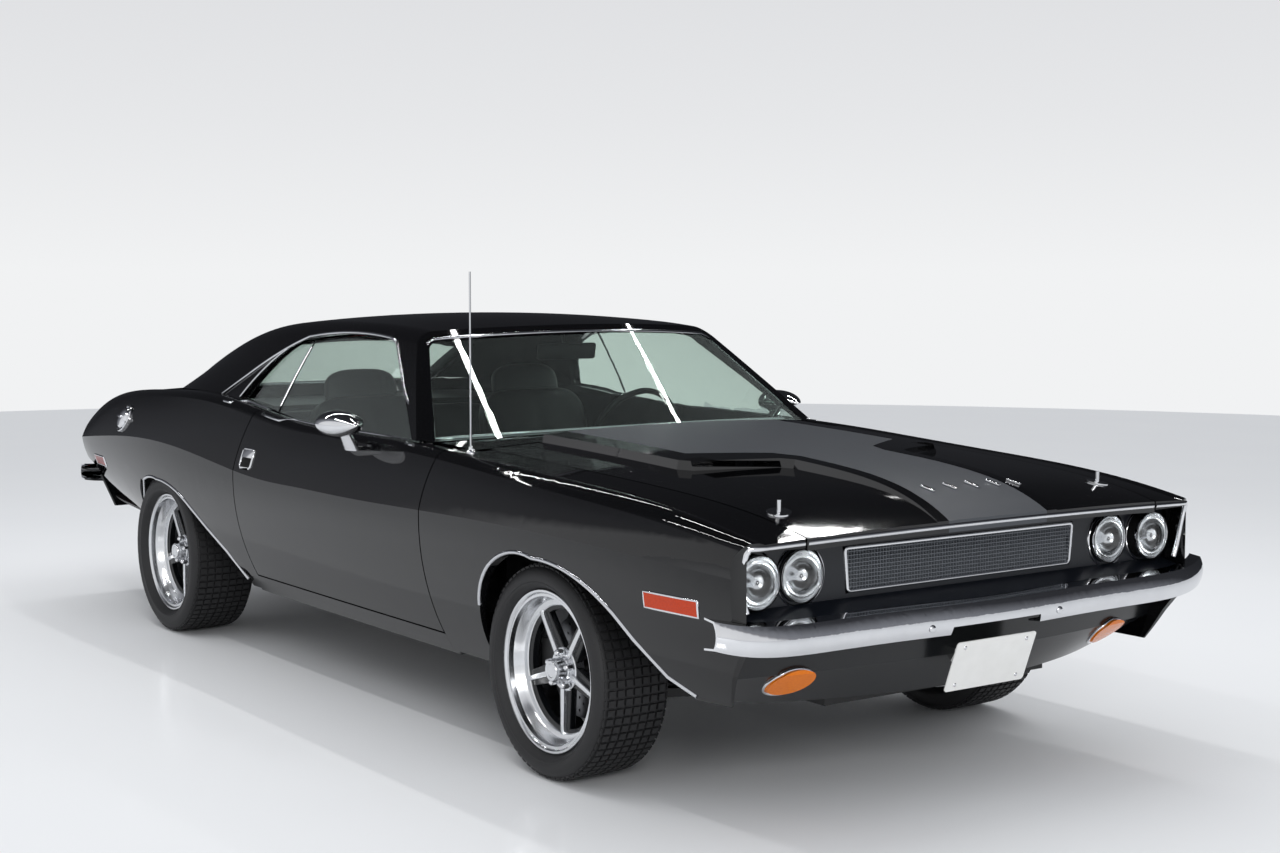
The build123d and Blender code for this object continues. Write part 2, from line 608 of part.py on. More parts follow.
with BuildPart() as grille:
    with BuildSketch(Plane.XZ.offset(-GRILLE_Y)):
        with BuildLine():
            Polyline(*grille_outline(0), close=True)
        make_face()
        with BuildLine():
            Polyline(*grille_outline(GRILLE_FRAME), close=True)
        make_face(mode=Mode.SUBTRACT)
    extrude(amount=GRILLE_DEPTH)
    with BuildSketch(Plane.XZ.offset(-GRILLE_Y + 4)) as mesh_face:
        low, high = GRILLE_LOW[1], GRILLE_TOP[1]
        for number in range(1, GRILLE_ROWS):
            with Locations((0, low + (high - low) * number / GRILLE_ROWS)):
                Rectangle(2 * GRILLE_LOW[0] - GRILLE_FRAME, GRILLE_BAR)
        for number in range(1, GRILLE_COLUMNS):
            x = -GRILLE_LOW[0] + 2 * GRILLE_LOW[0] * number / GRILLE_COLUMNS
            with Locations((x, (low + high) / 2)):
                Rectangle(GRILLE_BAR, high - low - GRILLE_FRAME)
    extrude(amount=GRILLE_DEPTH - 14)

# Bumpers: curved blades, open behind, with turned-up ends.
# Columns: x, front y, top z, bottom z
BUMPER_T = 5.0
BUMPER_DEPTH = 52.0
FRONT_BUMPER = [(930, -2376, 604, 522), (860, -2404, 590, 505), (600, -2421, 578, 490), (0, NOSE_Y, 574, 485)]
REAR_BUMPER = [(868, 2372, 596, 524), (800, 2400, 590, 512), (500, 2421, 586, 506), (0, TAIL_Y, 586, 506)]


def blade_outline(front, top, low, facing):
    """The outside of a bumper blade in side view: top flange, bowed face and bottom flange."""
    back = front + facing * BUMPER_DEPTH
    brow, chin = (front + facing * 12, top - 5), (front + facing * 8, low + 4)
    Line((back, top), brow)
    ThreePointArc(brow, (front, (top + low) / 2), chin)
    Line(chin, (back, low))


def bumper_section(row, side, facing):
    x, front, top, low = row
    back = front + facing * BUMPER_DEPTH
    with BuildSketch(Plane.YZ.offset(side * x)) as section:
        with BuildLine():
            blade_outline(front, top, low, facing)
            Line((back, low), (back, low + BUMPER_T))
            inner, high, deep = front + facing * BUMPER_T, top - BUMPER_T, low + BUMPER_T
            Line((back, deep), (inner + facing * 8, deep + 4))
            ThreePointArc((inner + facing * 8, deep + 4), (inner, (top + low) / 2), (inner + facing * 12, high - 5))
            Line((inner + facing * 12, high - 5), (back, high))
            Line((back, high), (back, top))
        make_face()
    return section.sketch


def bumper(rows, facing):
    with BuildPart() as solid:
        for row in rows:
            add(bumper_section(row, 1, facing))
        for row in reversed(rows[:-1]):
            add(bumper_section(row, -1, facing))
        loft()
    return solid.part


def bumper_space(rows, facing, grow):
    """The solid space that a bumper blade takes up, a little larger than the blade."""
    with BuildPart() as solid:
        for side, listed in ((1, rows), (-1, list(reversed(rows[:-1])))):
            for x, front, top, low in listed:
                x = x + grow if x == rows[0][0] else x
                edge = front - facing * grow + facing * BUMPER_DEPTH
                back = edge + facing * 2 * grow
                with BuildSketch(Plane.YZ.offset(side * x)):
                    with BuildLine():
                        blade_outline(front - facing * grow, top + grow, low - grow, facing)
                        Polyline((edge, low - grow), (back, low - grow), (back, top + grow), (edge, top + grow))
                    make_face()
        loft()
    return solid.part


PLATE = (152.0, 76.0, 396.0, -2398.0)
with BuildPart() as bumper_front:
    add(bumper(FRONT_BUMPER, 1))
    with BuildSketch(Plane.XZ.offset(2300)):
        with BuildLine():
            Polyline((-190, 400), (190, 400), (168, 512), (-168, 512), close=True)
        make_face()
    extrude(amount=200, mode=Mode.SUBTRACT)
with BuildPart() as bumper_rear:
    add(bumper(REAR_BUMPER, -1))
BUMPER_GAP = 0.6
front_bumper_space = bumper_space(FRONT_BUMPER, 1, BUMPER_GAP)
rear_bumper_space = bumper_space(REAR_BUMPER, -1, BUMPER_GAP)
nose_panel.part = nose_panel.part - front_bumper_space
fenders.part = fenders.part - front_bumper_space

# Front valance: the dark apron under the bumper, with a lamp in each side
VALANCE_T = 6.0
# Columns: z, centre y, half width, corner y
VALANCE_FRONT = [(522, -2372, 858, -2286), (420, -2352, 820, -2262), (318, -2290, 690, -2140)]


def curved_wall(rows, thickness, facing):
    """A wall that follows a plan arc at each height, thickness thick towards the car's middle."""
    faces = []
    for z, centre, half, corner in rows:
        with BuildSketch(Plane.XY.offset(z)) as face:
            with BuildLine():
                ThreePointArc((-half, corner), (0, centre), (half, corner))
                Line((half, corner), (half - thickness, corner + facing * thickness))
                ThreePointArc((half - thickness, corner + facing * thickness), (0, centre + facing * thickness),
                              (-half + thickness, corner + facing * thickness))
                Line((-half + thickness, corner + facing * thickness), (-half, corner))
            make_face()
        faces.append(face.sketch)
    with BuildPart() as solid:
        for face in faces:
            add(face)
        loft(ruled=True)
    return solid.part


PARKING = (612.0, 392.0, 62.0, 40.0)
with BuildPart() as valance_front:
    add(curved_wall(VALANCE_FRONT, VALANCE_T, 1))
    for side in (1, -1):
        with BuildSketch(Plane.XZ.offset(2200)):
            with Locations((side * PARKING[0], PARKING[1])):
                Ellipse(PARKING[2] + SEAM, PARKING[3] + SEAM)
        extrude(amount=200, mode=Mode.SUBTRACT)
    add(front_arch, mode=Mode.SUBTRACT)
    add(fenders.part, mode=Mode.SUBTRACT)
    add(front_bumper_space, mode=Mode.SUBTRACT)

with BuildPart() as parking_lamps:
    for side in (1, -1):
        with BuildSketch(Plane.XZ.offset(2200)):
            with Locations((side * PARKING[0], PARKING[1])):
                Ellipse(PARKING[2], PARKING[3])
        extrude(amount=200)
    add(curved_wall([(z, y - 14, half + 14, corner - 14) for z, y, half, corner in VALANCE_FRONT], 44, 1),
        mode=Mode.INTERSECT)

with BuildPart() as plate_front:
    with BuildSketch(Plane((0, PLATE[3], PLATE[2]), x_dir=(1, 0, 0), z_dir=(0, -0.94, -0.34))):
        RectangleRounded(2 * PLATE[0], 2 * PLATE[1], 10)
    extrude(amount=3)
    with BuildSketch(Plane((0, PLATE[3], PLATE[2]), x_dir=(1, 0, 0), z_dir=(0, 0.94, 0.34))):
        Rectangle(180, 40)
    extrude(amount=70)
    add(curved_wall([(z, y - 0.3, half, corner - 0.3) for z, y, half, corner in VALANCE_FRONT], 200, 1),
        mode=Mode.SUBTRACT)

# Tail: a recessed panel with full-width lamps
TAIL_PANEL_Y = 2372.0
TAIL_LAMP = (622.0, 752.0)
# Columns: inner x, outer x
TAIL_LAMPS = [(-742.0, -196.0), (-186.0, 186.0), (196.0, 742.0)]
with BuildPart() as tail_panel:
    add(block(-800, 800, TAIL_PANEL_Y, TAIL_PANEL_Y + 14, 540 + SEAM, LID_REAR_Z - SHUT_GAP - SEAM))
    add(hull_fit, mode=Mode.INTERSECT)
    add(block(TAIL_LAMPS[0][0] - SEAM, TAIL_LAMPS[2][1] + SEAM, 2300, 2500, TAIL_LAMP[0] - SEAM,
              TAIL_LAMP[1] + SEAM), mode=Mode.SUBTRACT)
    add(rear_bumper_space, mode=Mode.SUBTRACT)
with BuildPart() as tail_lamps:
    for x0, x1 in TAIL_LAMPS:
        add(block(x0, x1, TAIL_PANEL_Y - 20, TAIL_PANEL_Y + 20, TAIL_LAMP[0], TAIL_LAMP[1]))
VALANCE_REAR = [(540, 2378, 790, 2340), (400, 2330, 740, 2300)]
with BuildPart() as valance_rear:
    add(curved_wall(VALANCE_REAR, VALANCE_T, -1))
    add(rear_bumper_space, mode=Mode.SUBTRACT)

# Lower structure: floor with its tunnel, firewall, trunk floor, wheelhouses, bulkhead and shelf
TUNNEL = (150.0, 440.0, 6.0)
WALL_T = 12.0
floor_front_y = FIREWALL_Y + WALL_T + SEAM
tunnel_space = block(-TUNNEL[0] + TUNNEL[2], TUNNEL[0] - TUNNEL[2], FIREWALL_Y - 1, KICKUP_Y + 13, 200,
                     TUNNEL[1] - TUNNEL[2])
with BuildPart() as underbody:
    add(block(-744, 744, floor_front_y, KICKUP_Y + WALL_T, FLOOR_Z, FLOOR_Z + FLOOR_T))
    add(block(-TUNNEL[0], TUNNEL[0], floor_front_y, KICKUP_Y + WALL_T, FLOOR_Z, TUNNEL[1]))
    add(block(-744, 744, KICKUP_Y, KICKUP_Y + WALL_T, FLOOR_Z, TRUNK_FLOOR_Z + WALL_T))
    for side in (1, -1):
        add(block(*sorted((side * 744, side * 700)), floor_front_y, 545, FLOOR_Z, SILL_TOP_Z))
        add(rod(side * WHEELHOUSE_INNER_X, side * 960, REAR_AXLE_Y, REAR_TYRE_R, WHEELHOUSE_R), mode=Mode.SUBTRACT)
    add(tunnel_space, mode=Mode.SUBTRACT)
    add(hull_fit, mode=Mode.INTERSECT)
with BuildPart() as firewall:
    add(block(-788, 788, FIREWALL_Y, FIREWALL_Y + WALL_T, SILL_TOP_Z + SEAM, 862))
    add(block(-744, 744, FIREWALL_Y, FIREWALL_Y + WALL_T, FLOOR_Z, SILL_TOP_Z + 1))
    add(tunnel_space, mode=Mode.SUBTRACT)
    add(hull_fit, mode=Mode.INTERSECT)
with BuildPart() as trunk_well:
    add(block(-900, 900, KICKUP_Y + WALL_T + SEAM, 2304, TRUNK_FLOOR_Z, TRUNK_FLOOR_Z + WALL_T))
    add(block(-588, 588, BULKHEAD_Y, BULKHEAD_Y + WALL_T, TRUNK_FLOOR_Z, SHELF_Z))
    add(block(-740, 740, BULKHEAD_Y, DECK_FRONT_Y - DECK_FRONT_GAP - 90, SHELF_Z - WALL_T, SHELF_Z))
    for side in (1, -1):
        add(rod(side * 588, side * 900, REAR_AXLE_Y, REAR_TYRE_R, WHEELHOUSE_R + WALL_T))
    for side in (1, -1):
        add(rod(side * WHEELHOUSE_INNER_X, side * 960, REAR_AXLE_Y, REAR_TYRE_R, WHEELHOUSE_R), mode=Mode.SUBTRACT)
    add(block(-1000, 1000, KICKUP_Y - 100, 1700, 0, TRUNK_FLOOR_Z), mode=Mode.SUBTRACT)
    add(block(-1000, 1000, 800, KICKUP_Y + WALL_T + SEAM, 0, 1000), mode=Mode.SUBTRACT)
    add(hull_fit, mode=Mode.INTERSECT)

with BuildPart() as frame_rails:
    for side in (1, -1):
        inner, outer = sorted((side * RAIL_INNER_X, side * RAIL_OUTER_X))
        add(block(inner, outer, -2200, FIREWALL_Y - SEAM, RAIL_LOW_Z, RAIL_HIGH_Z))
        add(block(inner, outer, -1000, FIREWALL_Y - SEAM, FLOOR_Z - 52, RAIL_LOW_Z + 1))
        add(block(inner, outer, -1000, FIREWALL_Y + 260, FLOOR_Z - 52, FLOOR_Z - SEAM))
        add(block(inner, outer, FRONT_AXLE_Y - 60, FRONT_AXLE_Y + 60, CRADLE_LOW_Z, RAIL_LOW_Z + 1))
        add(block(*sorted((side * 505, side * 575)), 1800, 2290, REAR_RAIL_Z, TRUNK_FLOOR_Z - SEAM))
    add(block(-RAIL_OUTER_X, RAIL_OUTER_X, FRONT_AXLE_Y - 60, FRONT_AXLE_Y + 60, CRADLE_LOW_Z, CRADLE_HIGH_Z))
    add(block(-RAIL_INNER_X - 1, RAIL_INNER_X + 1, -2200, -2190, RAIL_LOW_Z, RAIL_HIGH_Z))

APRON_X = 430.0
APRON_T = 8.0
SHELF_FRONT_Z = 672.0
with BuildPart() as aprons:
    for side in (1, -1):
        add(block(*sorted((side * APRON_X, side * (APRON_X + APRON_T))), -2190, FIREWALL_Y - SEAM, RAIL_HIGH_Z - 40,
                  SHELF_FRONT_Z + 8))
        add(block(*sorted((side * APRON_X, side * 900)), -2190, FIREWALL_Y - SEAM, SHELF_FRONT_Z, SHELF_FRONT_Z + 8))
    add(block(-900, 900, -2200, -2188, RAIL_HIGH_Z + SEAM, SHELF_FRONT_Z + 8))
    add(block(-300, 300, -2300, -2100, 330, 720), mode=Mode.SUBTRACT)
    for side in (1, -1):
        add(block(*sorted((side * 470, side * 960)), -2200, -2188 + 1, 0, 500), mode=Mode.SUBTRACT)
    add(block(-1000, 1000, DOOR_FRONT_Y - PILLAR_T - SEAM, 0, 0, 1000) - block(-APRON_X - 60, APRON_X + 60, -1200, 0, 0, 1000),
        mode=Mode.SUBTRACT)
    add(hull_fit, mode=Mode.INTERSECT)
    for side in (1, -1):
        add(arch_prism(FRONT_ARCH, *sorted((side * 470, side * 1200))), mode=Mode.SUBTRACT)

# Engine and gearbox, radiator, propeller shaft, exhaust and tank
ENGINE_HALF = 230.0
GEARBOX_REAR_Y = FIREWALL_Y + 360
DIFF_R = 106.0
SPRING_T = 28.0
PIPE_R = 28.0
with BuildPart() as engine_block:
    add(block(-ENGINE_HALF, ENGINE_HALF, -1900, -1010, 330, 640))
    add(block(-330, 330, -1860, -1085, 560, 770))
    add(block(-120, 120, -1011, GEARBOX_REAR_Y, 290, 420))
    add(block(-RAIL_INNER_X + SEAM, RAIL_INNER_X - SEAM, -1510, -1430, RAIL_HIGH_Z - 35, 352))
    with BuildSketch(Plane.XY.offset(769)):
        with Locations((0, -1440)):
            Circle(190)
    extrude(amount=70)
    add(block(-150, 150, -1800, -1100, 250, 331))
with BuildPart() as radiator:
    add(block(-330, 330, -2187.5, -2120, 322, 724))
with BuildPart() as differential_form:
    with Locations((0, REAR_AXLE_Y, REAR_TYRE_R)):
        Sphere(DIFF_R + SEAM)
differential_space = differential_form.part
with BuildPart() as propshaft:
    with BuildSketch(Plane.XZ.offset(-(GEARBOX_REAR_Y + SEAM))):
        with Locations((0, 330)):
            Circle(38)
    extrude(amount=-(REAR_AXLE_Y - GEARBOX_REAR_Y - 20))
    add(differential_space, mode=Mode.SUBTRACT)
spring_front = (REAR_AXLE_Y - 440, FLOOR_Z - SEAM - SPRING_T)
spring_rear = (REAR_AXLE_Y + 600, REAR_RAIL_Z - SEAM - SPRING_T)
with BuildPart() as rear_axle:
    add(rod(-REAR_TRACK / 2 + 60, REAR_TRACK / 2 - 60, REAR_AXLE_Y, REAR_TYRE_R, 40))
    with Locations((0, REAR_AXLE_Y, REAR_TYRE_R)):
        Sphere(DIFF_R)
    for side in (1, -1):
        add(rod(side * (REAR_TRACK / 2 - 61), side * (REAR_TRACK / 2 + 10), REAR_AXLE_Y, REAR_TYRE_R, SPINDLE_R))
        add(rod(side * (REAR_TRACK / 2 - 72), side * (REAR_TRACK / 2 - 60), REAR_AXLE_Y, REAR_TYRE_R, 120))
        with BuildSketch(Plane.YZ.offset(side * 540 - 32)):
            with BuildLine():
                ThreePointArc(spring_front, (REAR_AXLE_Y, 206), spring_rear)
                Line(spring_rear, (spring_rear[0], spring_rear[1] + SPRING_T))
                ThreePointArc((spring_rear[0], spring_rear[1] + SPRING_T), (REAR_AXLE_Y, 206 + SPRING_T),
                              (spring_front[0], spring_front[1] + SPRING_T))
                Line((spring_front[0], spring_front[1] + SPRING_T), spring_front)
            make_face()
        extrude(amount=64)
        add(block(*sorted((side * 540 - 40, side * 540 + 40)), REAR_AXLE_Y - 50, REAR_AXLE_Y + 50, 220, 330))
with BuildPart() as fuel_tank:
    add(block(-340, 340, 1640, 2120, 262, TRUNK_FLOOR_Z - SEAM))
    chamfer(fuel_tank.edges().filter_by(Axis.X).group_by(Axis.Z)[0], 50)
PIPE_X = ENGINE_HALF + PIPE_R + SEAM
with BuildPart() as exhaust:
    for side in (1, -1):
        with BuildLine() as route:
            FilletPolyline((side * PIPE_X, -1240, 400), (side * PIPE_X, -1160, 222), (side * PIPE_X, -560, 196),
                           (side * PIPE_X, 100, 196), radius=60)
        with BuildSketch(Plane(route.line @ 0, z_dir=route.line % 0)):
            Circle(PIPE_R)
        sweep(path=route.line)
        with BuildSketch(Plane.XZ.offset(-700)):
            with Locations((side * PIPE_X, 190)):
                Ellipse(100, 56)
        extrude(amount=600)
        with BuildLine() as tail_route:
            FilletPolyline((side * PIPE_X, 699, 190), (side * 300, 900, 190), (side * 420, 1240, 168), (side * 420, 1700, 250),
                           (side * 470, 2200, 300), (side * 470, 2395, 300), radius=90)
        with BuildSketch(Plane(tail_route.line @ 0, z_dir=tail_route.line % 0)):
            Circle(PIPE_R)
        sweep(path=tail_route.line)

# Front suspension arms, fixed, each with an eye for the knuckle's pin
KINGPIN_X = FRONT_TRACK / 2 - KINGPIN_OFFSET
# Columns: z of the arm's middle, x of its inner edge
ARMS = [(ARM_LOW_Z, RAIL_OUTER_X + SEAM), (ARM_HIGH_Z, APRON_X + APRON_T + SEAM)]
with BuildPart() as control_arms:
    for side in (1, -1):
        for z, inner in ARMS:
            with BuildSketch(Plane.XY.offset(z - ARM_T / 2)):
                with BuildLine():
                    Polyline((side * (KINGPIN_X + 10), FRONT_AXLE_Y - 26), (side * inner, FRONT_AXLE_Y - 150),
                             (side * inner, FRONT_AXLE_Y + 150), (side * (KINGPIN_X + 10), FRONT_AXLE_Y + 26), close=True)
                make_face()
                with BuildLine():
                    Polyline((side * (KINGPIN_X - 62), FRONT_AXLE_Y - 12), (side * (inner + 30), FRONT_AXLE_Y - 92),
                             (side * (inner + 30), FRONT_AXLE_Y + 92), (side * (KINGPIN_X - 62), FRONT_AXLE_Y + 12),
                             close=True)
                make_face(mode=Mode.SUBTRACT)
                with Locations((side * KINGPIN_X, FRONT_AXLE_Y)):
                    Circle(27)
                with Locations((side * KINGPIN_X, FRONT_AXLE_Y)):
                    Circle(KINGPIN_R + RUNNING, mode=Mode.SUBTRACT)
            extrude(amount=ARM_T)


def knuckle(side):
    """An upright that turns on its pin, with the wheel's spindle and a brake caliper."""
    hub_x = side * FRONT_TRACK / 2
    with BuildPart() as solid:
        with BuildSketch(Plane.XY.offset(ARM_LOW_Z - ARM_T / 2 - 4)):
            with Locations((side * KINGPIN_X, FRONT_AXLE_Y)):
                Circle(KINGPIN_R)
        extrude(amount=ARM_HIGH_Z - ARM_LOW_Z + ARM_T + 8)
        with BuildSketch(Plane.XY.offset(ARM_LOW_Z + ARM_T / 2 + 5)):
            with Locations((side * KINGPIN_X, FRONT_AXLE_Y)):
                RectangleRounded(48, 66, 12)
        extrude(amount=ARM_HIGH_Z - ARM_LOW_Z - ARM_T - 10)
        add(rod(side * (KINGPIN_X + 10), side * (FRONT_TRACK / 2 - 58), FRONT_AXLE_Y, FRONT_TYRE_R, 44))
        add(rod(side * (KINGPIN_X + 10), side * (FRONT_TRACK / 2 + 10), FRONT_AXLE_Y, FRONT_TYRE_R, SPINDLE_R))
        inner = side * (FRONT_TRACK / 2 + DISC_X - DISC_T / 2 - 26)
        outer = side * (FRONT_TRACK / 2 + DISC_X + DISC_T / 2 + 22)
        middle = FRONT_AXLE_Y + CALIPER_AT
        caliper = block(*sorted((inner, outer)), middle - 34, middle + 34, FRONT_TYRE_R - 62, FRONT_TYRE_R + 62)
        add(caliper & rod(-900, 900, FRONT_AXLE_Y, FRONT_TYRE_R, 176))
        add(block(*sorted((side * KINGPIN_X, inner + side * 10)), FRONT_AXLE_Y + 10, middle, FRONT_TYRE_R - 24,
                  FRONT_TYRE_R + 24))
        slot_inner = side * (FRONT_TRACK / 2 + DISC_X - DISC_T / 2 - DISC_CLEAR)
        slot_outer = side * (FRONT_TRACK / 2 + DISC_X + DISC_T / 2 + DISC_CLEAR)
        add(rod(slot_inner, slot_outer, FRONT_AXLE_Y, FRONT_TYRE_R, DISC_R + DISC_CLEAR)
            - rod(slot_inner, slot_outer, FRONT_AXLE_Y, FRONT_TYRE_R, SPINDLE_R), mode=Mode.SUBTRACT)
    return solid.part




def wheel_parts(side, axle_y, hub_z, track, tyre_r, tyre_w, rim_half, disc):
    """Tyre, rim and, in front, the brake disc of one wheel. The wheel's own axis is X."""
    half = tyre_w / 2
    with BuildPart() as tyre:
        with BuildSketch(Plane.XY):
            with BuildLine():
                Line((-rim_half + RIM_LIP_T + RUNNING, RIM_SEAT_R + RUNNING), (rim_half - RIM_LIP_T - RUNNING, RIM_SEAT_R + RUNNING))
                Line((rim_half - RIM_LIP_T - RUNNING, RIM_SEAT_R + RUNNING), (rim_half - RIM_LIP_T - RUNNING, RIM_LIP_R + 1))
                ThreePointArc((rim_half - RIM_LIP_T - RUNNING, RIM_LIP_R + 1), (half, (RIM_LIP_R + tyre_r) / 2 + 2),
                              (half - 12, tyre_r - 14))
                ThreePointArc((half - 12, tyre_r - 14), (half - 18, tyre_r - 5), (half - 32, tyre_r - 1.5))
                ThreePointArc((half - 32, tyre_r - 1.5), (0, tyre_r), (-half + 32, tyre_r - 1.5))
                ThreePointArc((-half + 32, tyre_r - 1.5), (-half + 18, tyre_r - 5), (-half + 12, tyre_r - 14))
                ThreePointArc((-half + 12, tyre_r - 14), (-half, (RIM_LIP_R + tyre_r) / 2 + 2),
                              (-rim_half + RIM_LIP_T + RUNNING, RIM_LIP_R + 1))
                Line((-rim_half + RIM_LIP_T + RUNNING, RIM_LIP_R + 1), (-rim_half + RIM_LIP_T + RUNNING, RIM_SEAT_R + RUNNING))
            make_face()
        revolve(axis=Axis.X)
    with BuildPart() as rim:
        with BuildSketch(Plane.XY):
            with BuildLine():
                Polyline((-rim_half, RIM_LIP_R), (-rim_half + RIM_LIP_T, RIM_LIP_R), (-rim_half + RIM_LIP_T, RIM_SEAT_R),
                         (rim_half - RIM_LIP_T, RIM_SEAT_R), (rim_half - RIM_LIP_T, RIM_LIP_R), (rim_half, RIM_LIP_R),
                         (rim_half, RIM_LIP_R - 16), (rim_half - 12, RIM_SEAT_R - RIM_WALL), (30, 196), (-20, 196),
                         (-rim_half + 8, RIM_SEAT_R - RIM_WALL), (-rim_half, RIM_LIP_R - 16), close=True)
            make_face()
        revolve(axis=Axis.X)
        add(rod(-44, 46, 0, 0, HUB_R))
        with BuildSketch(Plane.YZ.offset(45)):
            Circle(CAP_R + 4)
        with BuildSketch(Plane.YZ.offset(rim_half - 14)):
            Circle(CAP_R - 3)
        loft(ruled=True)
        for number in range(SPOKES):
            with BuildSketch(Plane.XZ.rotated((number * 360 / SPOKES, 0, 0)).offset(-60)):
                with Locations((28, 0)):
                    RectangleRounded(32, 44, 7)
            with BuildSketch(Plane.XZ.rotated((number * 360 / SPOKES, 0, 0)).offset(-202)):
                with Locations((34, 0)):
                    RectangleRounded(26, 36, 7)
            loft(ruled=True)
        add(rod(-60, 16, 0, 0, SPINDLE_R + RUNNING), mode=Mode.SUBTRACT)
    place = Location((side * track / 2, axle_y, hub_z), (0, 0, 0 if side > 0 else 180))
    results = [tyre.part.moved(place), rim.part.moved(place)]
    if disc:
        with BuildPart() as disc_part:
            with BuildSketch(Plane.YZ.offset(DISC_X - DISC_T / 2)):
                Circle(DISC_R)
                Circle(HUB_R + SEAM, mode=Mode.SUBTRACT)
                for ring, count, turn in ((90, 16, 0), (108, 16, 11), (128, 16, 0)):
                    with PolarLocations(ring, count, start_angle=turn):
                        Circle(4.5, mode=Mode.SUBTRACT)
            extrude(amount=DISC_T)
        results.append(disc_part.part.moved(place))
    return results


# Columns: name, side, axle y, hub z, track, tyre radius, tyre width, rim half width, brake disc
WHEELS = [
    ("front_right", -1, FRONT_AXLE_Y, FRONT_TYRE_R, FRONT_TRACK, FRONT_TYRE_R, FRONT_TYRE_W, RIM_HALF_FRONT, True),
    ("front_left", 1, FRONT_AXLE_Y, FRONT_TYRE_R, FRONT_TRACK, FRONT_TYRE_R, FRONT_TYRE_W, RIM_HALF_FRONT, True),
    ("rear_right", -1, REAR_AXLE_Y, REAR_TYRE_R, REAR_TRACK, REAR_TYRE_R, REAR_TYRE_W, RIM_HALF_REAR, False),
    ("rear_left", 1, REAR_AXLE_Y, REAR_TYRE_R, REAR_TRACK, REAR_TYRE_R, REAR_TYRE_W, RIM_HALF_REAR, False),
]
wheel_nodes = {}
for name, *sizes in WHEELS:
    made = wheel_parts(*sizes)
    for kind, solid in zip(("tyre", "rim", "brake_disc"), made):
        wheel_nodes[kind + "_" + name] = solid

# Cabin: dash, seats, console and steering wheel
with BuildPart() as dashboard:
    with BuildSketch(Plane.YZ.offset(-752)):
        with BuildLine():
            Polyline((FIREWALL_Y + 12.3, 700), (FIREWALL_Y + 12.3, 850), (-640, 885), (-480, 893))
            ThreePointArc((-480, 893), (-405, 872), (-385, 800))
            Polyline((-385, 800), (-430, 690), (FIREWALL_Y + 12.3, 700))
        make_face()
    extrude(amount=1504)
SEAT_X = 372.0
SEAT_HALF = 216.0
with BuildPart() as front_seats:
    for side in (1, -1):
        with BuildSketch(Plane.YZ.offset(side * SEAT_X - SEAT_HALF)):
            with BuildLine():
                Polyline((-130, 330), (-150, 452), (-120, 476), (330, 452), (545, 1030), (560, 1052), (600, 1050),
                         (640, 1030), (476, 420), (440, 330), close=True)
            make_face()
        extrude(amount=2 * SEAT_HALF)
        add(block(side * SEAT_X - 190, side * SEAT_X + 190, -80, 400, FLOOR_Z + FLOOR_T + SEAM, 331))
with BuildPart() as rear_seat:
    with BuildSketch(Plane.YZ.offset(-585)):
        with BuildLine():
            Polyline((740, FLOOR_Z + FLOOR_T + SEAM), (730, 460), (760, 492), (1050, 476), (1150, 870), (1222, 880),
                     (1222, TRUNK_FLOOR_Z + 12.3), (KICKUP_Y - SEAM, TRUNK_FLOOR_Z + 12.3),
                     (KICKUP_Y - SEAM, FLOOR_Z + FLOOR_T + SEAM), close=True)
        make_face()
    extrude(amount=1170)
    add(block(-TUNNEL[0] - 3, TUNNEL[0] + 3, 0, 1300, 0, TUNNEL[1] + 3), mode=Mode.SUBTRACT)
with BuildPart() as console:
    add(block(-100, 100, -380, 380, TUNNEL[1] + SEAM, 540))
    chamfer(console.edges().filter_by(Axis.Y).group_by(Axis.Z)[-1], 14)

COLUMN_TILT = 22.0
WHEEL_CENTRE = (370.0, -190.0, 838.0)
STEERING_R = 185.0
wheel_plane = Plane(origin=WHEEL_CENTRE, x_dir=(1, 0, 0),
                    z_dir=(0, -math.cos(math.radians(COLUMN_TILT)), -math.sin(math.radians(COLUMN_TILT))))
with BuildPart() as steering_wheel:
    with BuildSketch(Plane.XZ):
        with Locations((STEERING_R, 0)):
            Circle(11)
    revolve(axis=Axis.Z)
    with BuildSketch(Plane.XY.offset(-8)):
        Circle(42)
    extrude(amount=50)
    for angle in (0, 180, 270):
        with BuildSketch(Plane.XY.offset(-3)):
            with Locations(Location((0, 0), angle)):
                with Locations((100, 0)):
                    Rectangle(176, 26)
        extrude(amount=6)
steering_solid = wheel_plane.location * steering_wheel.part
with BuildPart() as steering_wheel:
    add(steering_solid)
with BuildPart() as column_form:
    with BuildSketch(Plane.XY.offset(42.5)):
        Circle(30)
    extrude(amount=330)
column = (wheel_plane.location * column_form.part) - block(-1000, 1000, -500, 0, 894, 1300)
dashboard.part = dashboard.part + (column - block(-1000, 1000, -1200, -640, 0, 2000))

# Small outside pieces
with BuildPart() as antenna:
    with BuildSketch(Plane.XY.offset(880)):
        with Locations((-800, -973)):
            Circle(15)
    extrude(amount=24)
    with BuildSketch(Plane.XY.offset(900)):
        with Locations((-800, -973)):
            Circle(3)
    extrude(amount=556)
    add(hull.moved(Location((0, 0, SEAM))), mode=Mode.SUBTRACT)
